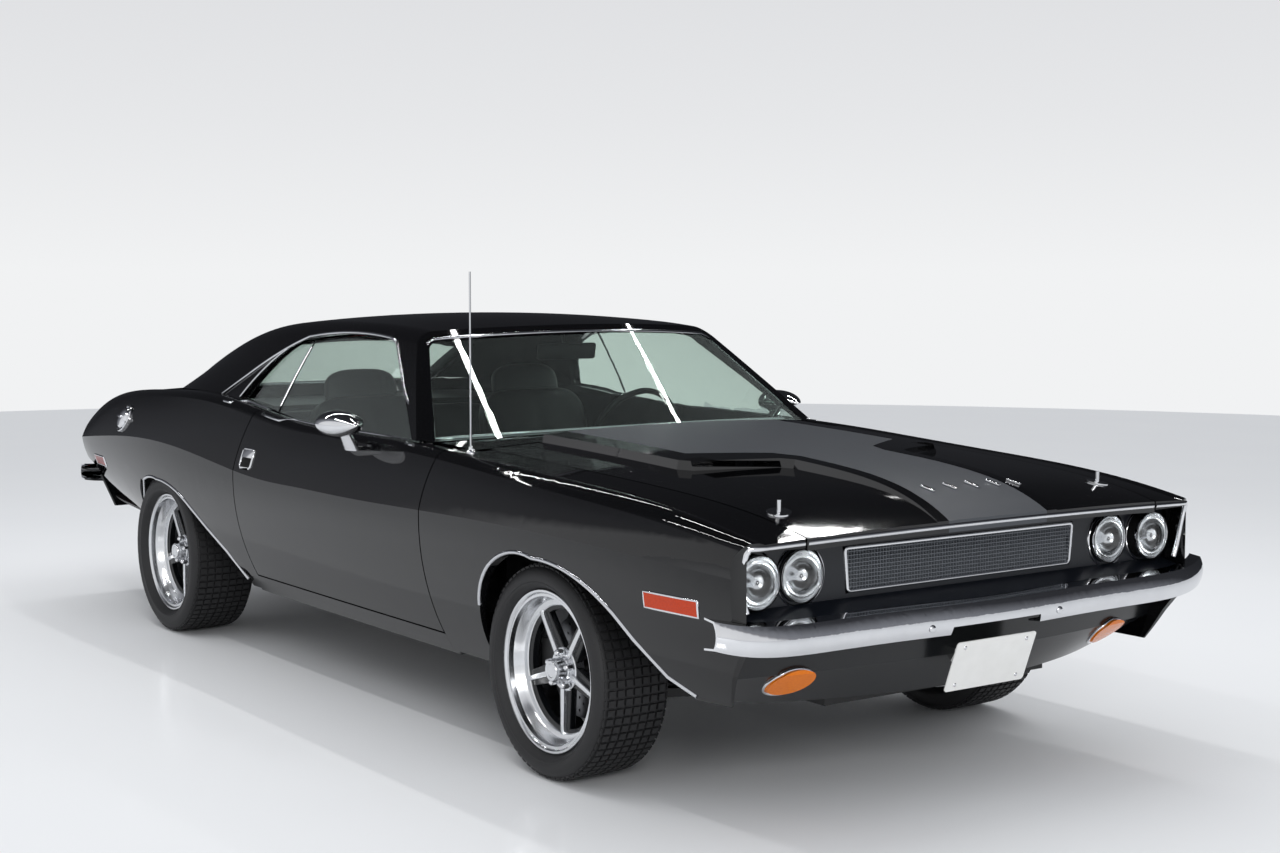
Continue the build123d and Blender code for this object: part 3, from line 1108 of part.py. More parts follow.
# Columns: y, z, length, height, half width to cut from
MARKERS = [(-2134, 606, 205, 42), (2082, 632, 150, 40)]
with BuildPart() as marker_lamps:
    for y, z, length, height in MARKERS:
        for side in (1, -1):
            add(block(*sorted((side * 780, side * 1000)), y - length / 2, y + length / 2, z - height / 2, z + height / 2))
    add(hull.scale(1.0035), mode=Mode.INTERSECT)
    add(hull_fit, mode=Mode.SUBTRACT)
FUEL_CAP = (1704.0, 841.0, 64.0)
with BuildPart() as fuel_cap:
    add(rod(-945, -800, FUEL_CAP[0], FUEL_CAP[1], FUEL_CAP[2]))
    add(hull.moved(Location((-SEAM, 0, 0))), mode=Mode.SUBTRACT)
PIN = (614.0, -2230.0, 34.0)
with BuildPart() as hood_pins:
    for side in (1, -1):
        with BuildSketch(Plane.XY.offset(800)):
            with Locations((side * PIN[0], PIN[1])):
                Circle(PIN[2])
        extrude(amount=60)
    add(hull.moved(Location((0, 0, SEAM + 4))), mode=Mode.INTERSECT)
    for side in (1, -1):
        with BuildSketch(Plane.XY.offset(800)):
            with Locations((side * PIN[0], PIN[1])):
                Circle(6)
        extrude(amount=66)
    add(hull.moved(Location((0, 0, SEAM))), mode=Mode.SUBTRACT)

nodes = {
    "fenders": fenders.part - marker_lamps.part, "hood": hood.part, "cowl": cowl.part, "door_right": door_right.part,
    "door_left": door_left.part, "door_glass_right": door_glass_right.part,
    "door_glass_left": door_glass_left.part, "quarter_glass": quarter_glass.part, "mirror_left": mirror_left.part,
    "mirror_right": mirror_right.part, "rockers": rockers.part, "roof": roof.part, "windscreen": windscreen.part,
    "rear_window": rear_window.part, "quarters": quarters.part - marker_lamps.part, "trunk_lid": trunk_lid.part,
    "nose_panel": nose_panel.part, "headlamps": headlamps.part, "grille": grille.part,
    "bumper_front": bumper_front.part, "bumper_rear": bumper_rear.part, "valance_front": valance_front.part,
    "parking_lamps": parking_lamps.part, "plate_front": plate_front.part, "tail_panel": tail_panel.part,
    "tail_lamps": tail_lamps.part, "valance_rear": valance_rear.part, "underbody": underbody.part,
    "firewall": firewall.part, "trunk_well": trunk_well.part,
    "frame_rails": frame_rails.part, "aprons": aprons.part, "engine_block": engine_block.part,
    "radiator": radiator.part, "propshaft": propshaft.part, "rear_axle": rear_axle.part,
    "fuel_tank": fuel_tank.part, "exhaust": exhaust.part, "control_arms": control_arms.part,
    "knuckle_right": knuckle(-1), "knuckle_left": knuckle(1), "dashboard": dashboard.part,
    "front_seats": front_seats.part, "rear_seat": rear_seat.part, "console": console.part,
    "steering_wheel": steering_wheel.part, "antenna": antenna.part, "marker_lamps": marker_lamps.part,
    "fuel_cap": fuel_cap.part, "hood_pins": hood_pins.part,
}
nodes.update(wheel_nodes)

os.makedirs("parts", exist_ok=True)
for name, part in nodes.items():
    part.label = name
    export_step(part, "parts/" + name + ".step")
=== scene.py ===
"""The looks of a gloss black two-door hardtop muscle car, in metres, in the frame of its CAD model.

The front faces -Y, +Z is up, the car's right side is at -X and the driver sits at +X.
"""

import math

import bmesh
import bpy
from mathutils import Matrix, Vector
from mathutils.bvhtree import BVHTree


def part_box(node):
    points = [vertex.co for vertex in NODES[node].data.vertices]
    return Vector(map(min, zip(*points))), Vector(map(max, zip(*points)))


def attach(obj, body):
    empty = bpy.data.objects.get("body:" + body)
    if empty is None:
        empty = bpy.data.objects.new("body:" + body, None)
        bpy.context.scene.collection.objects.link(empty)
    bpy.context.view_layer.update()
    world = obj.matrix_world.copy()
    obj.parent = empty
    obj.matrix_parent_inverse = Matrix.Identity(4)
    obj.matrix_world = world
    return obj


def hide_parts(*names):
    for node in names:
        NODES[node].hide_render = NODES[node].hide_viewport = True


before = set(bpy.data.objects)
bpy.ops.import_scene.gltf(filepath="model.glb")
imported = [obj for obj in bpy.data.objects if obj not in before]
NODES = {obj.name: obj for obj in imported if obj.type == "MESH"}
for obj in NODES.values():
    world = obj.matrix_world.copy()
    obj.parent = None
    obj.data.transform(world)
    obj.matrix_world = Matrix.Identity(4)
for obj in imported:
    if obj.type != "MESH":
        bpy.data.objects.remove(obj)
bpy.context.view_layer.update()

# Sizes shared by several pieces, in metres
PANEL_Y = -2.288
LAMPS = [(0.756, -2.334), (0.592, -2.312)]
LAMP_Z = 0.673
HOOD_HALF_NOSE = 0.664
# name, side, axle y, hub z, track, tyre radius, tyre width, rim half width
WHEELS = [
    ("front_right", -1, -1.490, 0.314, 1.516, 0.314, 0.245, 0.101),
    ("front_left", 1, -1.490, 0.314, 1.516, 0.314, 0.245, 0.101),
    ("rear_right", -1, 1.304, 0.322, 1.542, 0.322, 0.265, 0.106),
    ("rear_left", 1, 1.304, 0.322, 1.542, 0.322, 0.265, 0.106),
]

# The camera, at the photograph's angle
camera_data = bpy.data.cameras.new("camera")
camera_data.lens = 53.208
camera_data.sensor_fit = "HORIZONTAL"
camera_data.sensor_width = 36
camera_data.clip_end = 200
camera = bpy.data.objects.new("camera", camera_data)
bpy.context.scene.collection.objects.link(camera)
camera.matrix_world = Matrix((
    (0.81362361, 0.04681865, -0.57950378, -3.74912),
    (-0.58139129, 0.06703765, -0.81085764, -5.99498),
    (0.00088531, 0.99665138, 0.08176337, 1.45751),
    (0, 0, 0, 1)))
bpy.context.scene.camera = camera
bpy.context.scene.view_settings.view_transform = "Standard"


# Helpers for materials

def colour(code):
    """A linear colour from an sRGB hex value."""
    channels = [int(code[place:place + 2], 16) / 255 for place in (1, 3, 5)]
    return tuple(c / 12.92 if c <= 0.04045 else ((c + 0.055) / 1.055) ** 2.4 for c in channels) + (1.0,)


def add_node(tree, kind, values=None, links=None, **settings):
    """Adds a node, with its settings, the values of its sockets and what feeds them."""
    node = tree.nodes.new(kind)
    for name, value in settings.items():
        setattr(node, name, value)
    for socket, value in (values or {}).items():
        node.inputs[socket].default_value = value
    for socket, source in (links or {}).items():
        tree.links.new(source, node.inputs[socket])
    return node


def finish(name, light, dark, grain, depth, sockets, stretch=(1, 1, 1)):
    """A material of two near shades and a bump of the same grain. grain and depth are in millimetres."""
    material = bpy.data.materials.new(name)
    material.use_nodes = True
    tree = material.node_tree
    shader = tree.nodes["Principled BSDF"]
    for socket, value in sockets.items():
        shader.inputs[socket].default_value = value
    place = add_node(tree, "ShaderNodeTexCoord")
    turned = add_node(tree, "ShaderNodeMapping", {"Scale": stretch}, {"Vector": place.outputs["Object"]})
    grains = add_node(tree, "ShaderNodeTexNoise", {"Scale": 1000 / grain, "Detail": 3.0},
                      {"Vector": turned.outputs[0]})
    shades = add_node(tree, "ShaderNodeMix", {6: colour(dark), 7: colour(light)},
                      {0: grains.outputs["Fac"]}, data_type="RGBA")
    tree.links.new(shades.outputs[2], shader.inputs["Base Color"])
    if depth:
        bump = add_node(tree, "ShaderNodeBump", {"Strength": 1.0, "Distance": depth / 1000},
                        {"Height": grains.outputs["Fac"]})
        tree.links.new(bump.outputs[0], shader.inputs["Normal"])
    return material


# Helpers for pieces

def keep(name, mesh, material, body, slot, smooth=40):
    """A finished piece: its mesh in place, smooth up to an angle, with its material and body."""
    mesh.name = name
    mesh.materials.clear()
    mesh.materials.append(material)
    mesh.shade_smooth()
    mesh.set_sharp_from_angle(angle=math.radians(smooth))
    piece = bpy.data.objects.new(name, mesh)
    bpy.context.scene.collection.objects.link(piece)
    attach(piece, body)
    return piece


def keep_form(name, form, *rest, **more):
    """Turns a finished bmesh into a piece, with its doubles merged and its faces outwards."""
    bmesh.ops.remove_doubles(form, verts=form.verts, dist=1e-6)
    bmesh.ops.recalc_face_normals(form, faces=form.faces)
    mesh = bpy.data.meshes.new(name)
    form.to_mesh(mesh)
    form.free()
    return keep(name, mesh, *rest, **more)


def lathe(form, profile, place, steps=48, closed=False):
    """Spins a profile of (x along the axis, radius) points about X and moves the ring by a matrix."""
    made = [form.verts.new((x, 0, radius)) for x, radius in profile]
    edges = [form.edges.new(ends) for ends in zip(made, made[1:])]
    if closed:
        edges.append(form.edges.new((made[-1], made[0])))
    before = set(form.verts) - set(made)
    bmesh.ops.spin(form, geom=made + edges, cent=(0, 0, 0), axis=(1, 0, 0), dvec=(0, 0, 0),
                   angle=math.tau, steps=steps, use_merge=True)
    ring = [v for v in form.verts if v not in before]
    bmesh.ops.remove_doubles(form, verts=ring, dist=1e-6)
    ring = [v for v in form.verts if v not in before]
    bmesh.ops.transform(form, matrix=place, verts=ring)
    return ring


def slab(form, centre, size, edge=0.0, turn=None, steps=2):
    """A box with rounded edges."""
    made = bmesh.ops.create_cube(form, size=1.0)["verts"]
    bmesh.ops.scale(form, vec=size, verts=made)
    if edge:
        sides = {e for v in made for e in v.link_edges}
        made = list({v for f in bmesh.ops.bevel(form, geom=list(sides), offset=edge, segments=steps, profile=0.5,
                                                affect="EDGES", material=-1)["faces"] for v in f.verts})
    bmesh.ops.transform(form, matrix=Matrix.Translation(centre) @ (turn or Matrix()), verts=made)
    return made


def wheel_place(side, axle_y, hub_z, track):
    """Where a wheel's own frame stands: X outwards from its middle."""
    return Matrix.Translation((side * track / 2, axle_y, hub_z)) @ Matrix.Rotation(0 if side > 0 else math.pi, 4, "Z")


FORWARD = Matrix.Rotation(-math.pi / 2, 4, "Z")


def bar_along(name, points, radius, material, body, slot, closed=False, bend="POLY", sides=3):
    """A round bar along points, as mesh."""
    curve = bpy.data.curves.new(name, "CURVE")
    curve.dimensions = "3D"
    curve.bevel_depth = radius
    curve.bevel_resolution = sides
    curve.use_fill_caps = not closed
    spline = curve.splines.new(bend)
    spline.points.add(len(points) - 1)
    for point, place in zip(spline.points, points):
        point.co = (*place, 1)
    spline.use_cyclic_u = closed
    if bend == "NURBS":
        spline.order_u = 4
        spline.use_endpoint_u = not closed
    rough = bpy.data.objects.new(name, curve)
    bpy.context.scene.collection.objects.link(rough)
    mesh = bpy.data.meshes.new_from_object(rough)
    bpy.data.objects.remove(rough)
    bpy.data.curves.remove(curve)
    return keep(name, mesh, material, body, slot, smooth=50)


def skin_of(*names):
    """The surface of these nodes, to lay trim on."""
    joined = bmesh.new()
    for name in names:
        joined.from_mesh(NODES[name].data)
    skin = BVHTree.FromBMesh(joined)
    joined.free()
    return skin


def reach(skin, start, towards):
    """How far it is from start to the skin."""
    spot, _, _, distance = skin.ray_cast(Vector(start), Vector(towards).normalized())
    return (spot, distance) if spot else (None, 99.0)


def opening_edge(panes, panels, centre, across, along, spread, count, share=(0, 1)):
    """Points round an opening, found by looking at it from outside: where the view leaves the pane."""
    facing = Vector(across).cross(Vector(along)).normalized()
    points = []
    for number in range(count):
        turn = math.tau * (share[0] + (share[1] - share[0]) * number / count)
        ray = Vector(across) * math.cos(turn) * spread[0] + Vector(along) * math.sin(turn) * spread[1]
        low, high = 0.0, 1.0
        for _ in range(14):
            middle = (low + high) / 2
            start = Vector(centre) + ray * middle - facing
            if reach(panes, start, facing)[1] < reach(panels, start, facing)[1]:
                low = middle
            else:
                high = middle
        spot, _ = reach(panels, Vector(centre) + ray * (high + 0.006) - facing, facing)
        if spot:
            points.append(spot)
    return points


def arc(start, middle, end, count):
    """Points on the arc through three points of a plane."""
    (ax, ay), (bx, by), (cx, cy) = start, middle, end
    d = 2 * (ax * (by - cy) + bx * (cy - ay) + cx * (ay - by))
    ux = ((ax**2 + ay**2) * (by - cy) + (bx**2 + by**2) * (cy - ay) + (cx**2 + cy**2) * (ay - by)) / d
    uy = ((ax**2 + ay**2) * (cx - bx) + (bx**2 + by**2) * (ax - cx) + (cx**2 + cy**2) * (bx - ax)) / d
    radius = math.hypot(ax - ux, ay - uy)
    first, second, last = (math.atan2(y - uy, x - ux) for x, y in (start, middle, end))
    sweep = (last - first) % math.tau
    if (second - first) % math.tau > sweep:
        sweep -= math.tau
    return [(ux + radius * math.cos(first + sweep * n / count), uy + radius * math.sin(first + sweep * n / count))
            for n in range(count + 1)]


# Materials

# Acrylic lacquer over black, polished and clear-coated: a deep mirror with faint orange peel
gloss_lacquer = finish("gloss_black_lacquer", "#0b0b0d", "#070708", 9, 0.004,
                       {"Roughness": 0.03, "Specular IOR Level": 0.5, "Coat Weight": 0.0})
# Chromium plate on steel and zinc: near-white metal, mirror smooth with a faint wave
chrome_plate = finish("chromium_plate", "#e9eaec", "#d9dadd", 60, 0.02, {"Metallic": 1.0, "Roughness": 0.05})
# Stainless trim strip, polished along its length
stainless_trim = finish("stainless_trim", "#dcdde0", "#c6c8cc", 3, 0.002, {"Metallic": 1.0, "Roughness": 0.12})
# Cast aluminium wheel, machined then polished: bright with fine turning marks
polished_alloy = finish("polished_aluminium", "#e6e7e9", "#cfd1d4", 1.6, 0.006,
                        {"Metallic": 1.0, "Roughness": 0.2})
# Cast aluminium left satin: pale grey with a soft grain
cast_alloy = finish("cast_aluminium", "#9a9ca0", "#76787c", 2.5, 0.15, {"Metallic": 1.0, "Roughness": 0.45})
# Vulcanised rubber: matt charcoal with a slight bloom
tyre_rubber = finish("vulcanised_rubber", "#242426", "#161617", 5, 0.08, {"Roughness": 0.62})
# Ground grey iron of the brake discs
disc_iron = finish("ground_iron", "#8f9092", "#6b6c70", 1.5, 0.01, {"Metallic": 1.0, "Roughness": 0.32})
# Red enamel on the brake calipers
caliper_enamel = finish("red_enamel", "#b3130f", "#8f0d0b", 6, 0.02, {"Roughness": 0.3, "Coat Weight": 0.4})
# Semi-gloss chassis enamel with the stipple of undercoat
chassis_enamel = finish("chassis_enamel", "#141415", "#0b0b0c", 4, 0.25, {"Roughness": 0.5})
# Grey iron castings of the engine and axle, painted satin
iron_casting = finish("iron_casting", "#3c3d40", "#252628", 3, 0.3, {"Roughness": 0.6, "Metallic": 0.3})
# Mild steel of pipes and springs with a light haze of rust
bare_steel = finish("mild_steel", "#6e6a66", "#4b443f", 14, 0.05, {"Metallic": 0.8, "Roughness": 0.45})
# Injection-moulded dash and console plastic with a pebbled grain
dash_plastic = finish("pebbled_plastic", "#101113", "#0a0a0b", 2, 0.12,
                      {"Roughness": 0.55, "Specular IOR Level": 0.3})
# Calendered vinyl upholstery: fine leather grain and a soft sheen
seat_vinyl = finish("calendered_vinyl", "#0f0f11", "#09090a", 2.4, 0.15,
                    {"Roughness": 0.42, "Specular IOR Level": 0.35})
# Blue-black satin enamel of the lamp panel: dark, with a soft cold shine
panel_enamel = finish("blue_black_enamel", "#141820", "#0e1117", 7, 0.01, {"Roughness": 0.3})
# Semi-gloss black enamel of the valances
valance_enamel = finish("valance_enamel", "#131518", "#0c0d0f", 8, 0.01, {"Roughness": 0.22})
# Blank number plate: white enamel on pressed aluminium
plate_enamel = finish("white_plate_enamel", "#f1f1ef", "#e6e6e3", 40, 0.01, {"Roughness": 0.3, "Coat Weight": 0.3})
# Anodised wire of the grille, a dull silver
grille_wire = finish("anodised_wire", "#85898f", "#6c7076", 3, 0.01, {"Metallic": 0.3, "Roughness": 0.4})
# Matt black: the own paint of the lamp buckets and screws, and painted shade as thin sheets behind the grille and in
# the door handles
black_paint_and_painted_shade = finish("matt_black_paint_and_painted_shade", "#09090a", "#050506", 3, 0.05, {"Roughness": 0.8, "Specular IOR Level": 0.3})
# Vacuum-aluminised reflector bowl of a lamp
lamp_reflector = finish("aluminised_reflector", "#fafbfb", "#e9ebee", 12, 0.04, {"Metallic": 1.0, "Roughness": 0.14})


def glass_finish(name, tint, ripple, depth, roughness=0.0, stretch=(1, 1, 1)):
    """Clear or coloured glass with moulded ripples, in millimetres."""
    return finish(name, tint, tint, ripple, depth,
                  {"Roughness": roughness, "IOR": 1.45, "Transmission Weight": 1.0}, stretch)


# Float glass, slightly green
float_glass = glass_finish("green_float_glass", "#e3efe9", 400, 0.0)
# Pressed lens glass, clear with flutes
lens_glass = glass_finish("fluted_lens_glass", "#fdfefe", 7, 0.10, 0.02, (1.0, 0.2, 0.12))
# Moulded amber and red acrylic lenses
amber_lens = finish("amber_acrylic", "#f08408", "#d06404", 5, 0.6, {"Roughness": 0.12, "Specular IOR Level": 0.35})
red_lens = finish("red_acrylic", "#a30f0c", "#7d0806", 8, 0.4,
                  {"Roughness": 0.12, "Specular IOR Level": 0.35})
# Marker lamp lenses: orange-red acrylic in front, red behind the cabin
marker_lens = finish("marker_acrylic", "#d0400a", "#a82f05", 5, 0.5, {"Roughness": 0.15, "Specular IOR Level": 0.3})


def mask_markers(material):
    """Turns the lenses behind the cabin red."""
    tree = material.node_tree
    shader = tree.nodes["Principled BSDF"]
    place = add_node(tree, "ShaderNodeTexCoord")
    apart = add_node(tree, "ShaderNodeSeparateXYZ", links={0: place.outputs["Object"]})
    behind = add_node(tree, "ShaderNodeMath", {1: 0.0}, {0: apart.outputs["Y"]}, operation="GREATER_THAN")
    shade = shader.inputs["Base Color"].links[0].from_socket
    mixed = add_node(tree, "ShaderNodeMix", {7: colour("#8d0d0a")}, {0: behind.outputs[0], 6: shade},
                     data_type="RGBA")
    tree.links.new(mixed.outputs[2], shader.inputs["Base Color"])


mask_markers(marker_lens)

# The hood: gloss lacquer with a satin centre band that widens behind the scoops; the band's mid-grey colour is partly
# painted sheen
hood_lacquer = finish("hood_lacquer_and_satin_band_with_painted_sheen", "#0b0b0d", "#070708", 9, 0.004,
                      {"Coat Roughness": 0.01})


def mask_hood(material):
    """Mixes the satin band into the hood's lacquer by its place on the hood."""
    tree = material.node_tree
    shader = tree.nodes["Principled BSDF"]
    place = add_node(tree, "ShaderNodeTexCoord")
    apart = add_node(tree, "ShaderNodeSeparateXYZ", links={0: place.outputs["Object"]})
    across = add_node(tree, "ShaderNodeMath", links={0: apart.outputs["X"]}, operation="ABSOLUTE")
    along = add_node(tree, "ShaderNodeMapRange", {"From Min": -2.45, "From Max": -0.94}, {0: apart.outputs["Y"]})
    width = add_node(tree, "ShaderNodeValToRGB", links={0: along.outputs[0]})
    width.color_ramp.elements[0].position = 0.0
    width.color_ramp.elements[0].color = (0.190, 0.190, 0.190, 1)
    width.color_ramp.elements[1].position = 1.0
    width.color_ramp.elements[1].color = (0.425, 0.425, 0.425, 1)
    for y, half in ((-2.10, 0.170), (-1.79, 0.165), (-1.70, 0.200), (-1.56, 0.415)):
        stop = width.color_ramp.elements.new((y + 2.45) / 1.51)
        stop.color = (half, half, half, 1)
    inside = add_node(tree, "ShaderNodeMath", links={0: width.outputs[0], 1: across.outputs[0]}, operation="SUBTRACT")
    band = add_node(tree, "ShaderNodeMath", {1: 1200.0}, {0: inside.outputs[0]}, operation="MULTIPLY", use_clamp=True)
    shade = shader.inputs["Base Color"].links[0].from_socket
    # The band's grey base colour is lighter than satin black paint: painted sheen, standing in for its soft
    # reflection at a low angle
    mixed = add_node(tree, "ShaderNodeMix", {7: colour("#43464b")}, {0: band.outputs[0], 6: shade}, data_type="RGBA")
    rough = add_node(tree, "ShaderNodeMapRange", {"To Min": 0.06, "To Max": 0.42}, {0: band.outputs[0]})
    coat = add_node(tree, "ShaderNodeMapRange", {"To Min": 0.35, "To Max": 0.0}, {0: band.outputs[0]})
    tree.links.new(mixed.outputs[2], shader.inputs["Base Color"])
    tree.links.new(rough.outputs[0], shader.inputs["Roughness"])
    tree.links.new(coat.outputs[0], shader.inputs["Coat Weight"])


mask_hood(hood_lacquer)

# Every carried-over node's finish
FINISHES = {
    gloss_lacquer: ["fenders", "cowl", "door_right", "door_left", "rockers", "roof", "quarters", "trunk_lid"],
    hood_lacquer: ["hood"],
    chrome_plate: ["bumper_front", "bumper_rear", "mirror_right", "mirror_left", "fuel_cap", "hood_pins"],
    stainless_trim: ["antenna"],
    float_glass: ["windscreen", "rear_window", "door_glass_right", "door_glass_left", "quarter_glass"],
    panel_enamel: ["nose_panel", "tail_panel"],
    valance_enamel: ["valance_front", "valance_rear"],
    amber_lens: ["parking_lamps"],
    marker_lens: ["marker_lamps"],
    red_lens: ["tail_lamps"],
    plate_enamel: ["plate_front"],
    chassis_enamel: ["underbody", "firewall", "trunk_well", "frame_rails", "aprons", "control_arms", "fuel_tank",
                     "knuckle_right", "knuckle_left"],
    iron_casting: ["engine_block", "rear_axle"],
    bare_steel: ["propshaft", "exhaust"],
    cast_alloy: ["radiator"],
    dash_plastic: ["dashboard", "console", "steering_wheel"],
    seat_vinyl: ["front_seats", "rear_seat"],
    disc_iron: ["brake_disc_front_right", "brake_disc_front_left"],
    polished_alloy: ["rim_" + wheel[0] for wheel in WHEELS],
    tyre_rubber: ["tyre_" + wheel[0] for wheel in WHEELS],
}
for material, names in FINISHES.items():
    for name in names:
        node = NODES[name]
        if not node.material_slots:
            node.data.materials.append(material)
        for place in node.material_slots:
            place.material = material

# Surfaces that trim is laid on
side_skin = skin_of("fenders", "door_right", "door_left", "rockers", "quarters")
body_skin = skin_of("fenders", "door_right", "door_left", "rockers", "quarters", "roof", "hood", "cowl", "trunk_lid")
screen_panes = skin_of("windscreen")
rear_panes = skin_of("rear_window")
side_panes = skin_of("door_glass_right", "quarter_glass")


def mirrored(points):
    """The same points on the other side of the car."""
    return [Vector((-p[0], p[1], p[2])) for p in points]


# Wheel-lip mouldings, just outside each opening's edge
FRONT_ARCH = ([(-2.140, 0.357), (-2.050, 0.395), (-1.950, 0.480)]
              + arc((-1.880, 0.542), (-1.715, 0.622), (-1.520, 0.645), 14)
              + arc((-1.520, 0.645), (-1.262, 0.575), (-1.184, 0.440), 16)[1:] + [(-1.172, 0.330)])
REAR_ARCH = ([(0.645, 0.296), (0.735, 0.393), (0.860, 0.468)]
             + arc((0.985, 0.538), (1.130, 0.598), (1.290, 0.617), 14)
             + arc((1.290, 0.617), (1.490, 0.585), (1.610, 0.470), 16)[1:] + [(1.640, 0.415)])
for label, outline, middle in (("front", FRONT_ARCH, (-1.50, 0.30)), ("rear", REAR_ARCH, (1.30, 0.30))):
    rim_line = []
    for y, z in outline:
        away = Vector((0, y - middle[0], z - middle[1])).normalized() * 0.007
        spot, _ = reach(side_skin, (-1.3, y + away.y, z + away.z), (1, 0, 0))
        if spot:
            rim_line.append(spot + Vector((0.001, 0, 0)))
    for side, points in (("right", rim_line), ("left", mirrored(rim_line))):
        bar_along("wheel_lip_%s_%s" % (label, side), points, 0.0065, stainless_trim, "body_shell", "bright_steel")

# Windscreen and rear window surrounds
screen_line = opening_edge(screen_panes, body_skin, (0, -0.60, 1.08), (1, 0, 0), (0, 0.72, 0.69), (1.0, 0.7), 150)
bar_along("windscreen_moulding", [p + Vector((0, -0.0035, 0.0035)) for p in screen_line], 0.0075, stainless_trim,
          "body_shell", "bright_steel", closed=True)
rear_line = opening_edge(rear_panes, body_skin, (0, 1.40, 1.10), (-1, 0, 0), (0, -0.93, 0.37), (1.0, 0.9), 150)
bar_along("rear_window_moulding", [p + Vector((0, 0.003, 0.0035)) for p in rear_line], 0.0075, stainless_trim,
          "body_shell", "bright_steel", closed=True)

# Side window surrounds: the drip rail over the glass and the belt line under it
drip = ([(-0.668, 0.912), (-0.455, 1.052), (-0.250, 1.190)]
        + arc((-0.225, 1.206), (-0.200, 1.217), (-0.165, 1.226), 4)
        + arc((-0.150, 1.228), (0.130, 1.238), (0.440, 1.217), 10)
        + arc((0.455, 1.216), (0.655, 1.146), (0.830, 1.060), 10)
        + [(0.915, 1.016), (0.985, 0.978)])
roof_skin = skin_of("roof")
drip_line = []
for y, z in drip:
    spot, _ = reach(roof_skin, (-1.3, y, z), (1, 0, 0))
    if spot:
        drip_line.append(spot - Vector((0.002, 0, 0)))
frame_line = [spot for spot in (reach(roof_skin, (-1.3, y, z), (1, 0, 0))[0] for y, z in
              [(y + 0.004, z - 0.004) if y < 0.45 else (y - 0.002, z) for y, z in
               [(-0.675, 0.897), (-0.456, 1.049), (-0.252, 1.187)]
               + arc((-0.250, 1.187), (-0.215, 1.210), (-0.165, 1.222), 6)
               + arc((-0.165, 1.222), (0.130, 1.234), (0.440, 1.213), 10)[1:]
               + arc((0.440, 1.213), (0.643, 1.142), (0.793, 0.977), 12)[1:]]) if spot]
for side, drips, frames in (("right", drip_line, frame_line), ("left", mirrored(drip_line), mirrored(frame_line))):
    bar_along("drip_rail_" + side, drips, 0.006, stainless_trim, "body_shell", "bright_steel")
    bar_along("window_frame_" + side, frames, 0.0045, stainless_trim, "body_shell", "bright_steel")

belt_skin = skin_of("door_right", "quarters")
for label, body, first, last in (("door", "door_", -0.690, 0.505), ("quarter", "body_shell", 0.530, 0.800)):
    belt_line = []
    for number in range(25):
        y = first + (last - first) * number / 24
        outer, _ = reach(side_panes, (-1.3, min(max(y, -0.62), 0.74), 0.965 if y > 0.5 else 0.925), (1, 0, 0))
        x = (outer.x if outer else -0.83) - 0.016
        spot, _ = reach(belt_skin, (x, y, 1.3), (0, 0, -1))
        if spot:
            belt_line.append(spot)
    for side, points in (("right", belt_line), ("left", mirrored(belt_line))):
        rides = body + side if body == "door_" else body
        bar_along("belt_moulding_%s_%s" % (label, side), points, 0.0055, stainless_trim, rides, "bright_steel")

# The divider bar between the door glass and the quarter glass
divider = [(0.447, 0.925), (0.431, 1.211)]
for side in (-1, 1):
    points = []
    for number in range(9):
        y, z = (a + (b - a) * number / 8 for a, b in zip(*divider))
        spot, _ = reach(side_panes, (-1.3, y + 0.012, z), (1, 0, 0))
        if spot:
            points.append(Vector((-side * spot.x, y, z)))
    bar_along("divider_bar_" + ("right" if side < 0 else "left"), points, 0.005, stainless_trim, "body_shell",
              "bright_steel")

# Nose trim: a bright band along the hood's and fenders' front edge that turns down beside the outer lamps
nose_skin = skin_of("hood", "fenders")


def nose_band(name, xs, body, drop=False):
    """A round bright bar along the nose at these x, turned down at its end where drop is set."""
    line = []
    for x in xs:
        spot, _ = reach(nose_skin, (x, -3, 0.770), (0, 1, 0))
        if spot:
            line.append(Vector((x, spot.y + 0.0052, 0.7715 + 0.014 * (1 - (x / 0.84) ** 2))))
    if drop:
        end = line[-1]
        turn = [(0.006, 0.004, -0.012), (0.009, 0.010, -0.030), (0.009, 0.016, -0.060), (0.006, 0.022, -0.100),
                (-0.002, 0.026, -0.140), (-0.014, 0.026, -0.165)]
        sign = 1 if end.x > 0 else -1
        line += [end + Vector((sign * x, y, z)) for x, y, z in turn]
    bar_along(name, line, 0.0085, chrome_plate, body, "chrome")


nose_band("hood_edge_trim", [HOOD_HALF_NOSE * 0.996 * (n - 20) / 20 for n in range(41)], "hood")
for side, label in ((-1, "right"), (1, "left")):
    nose_band("fender_edge_trim_" + label, [side * (0.672 + 0.160 * n / 8) for n in range(9)], "body_shell",
              drop=True)

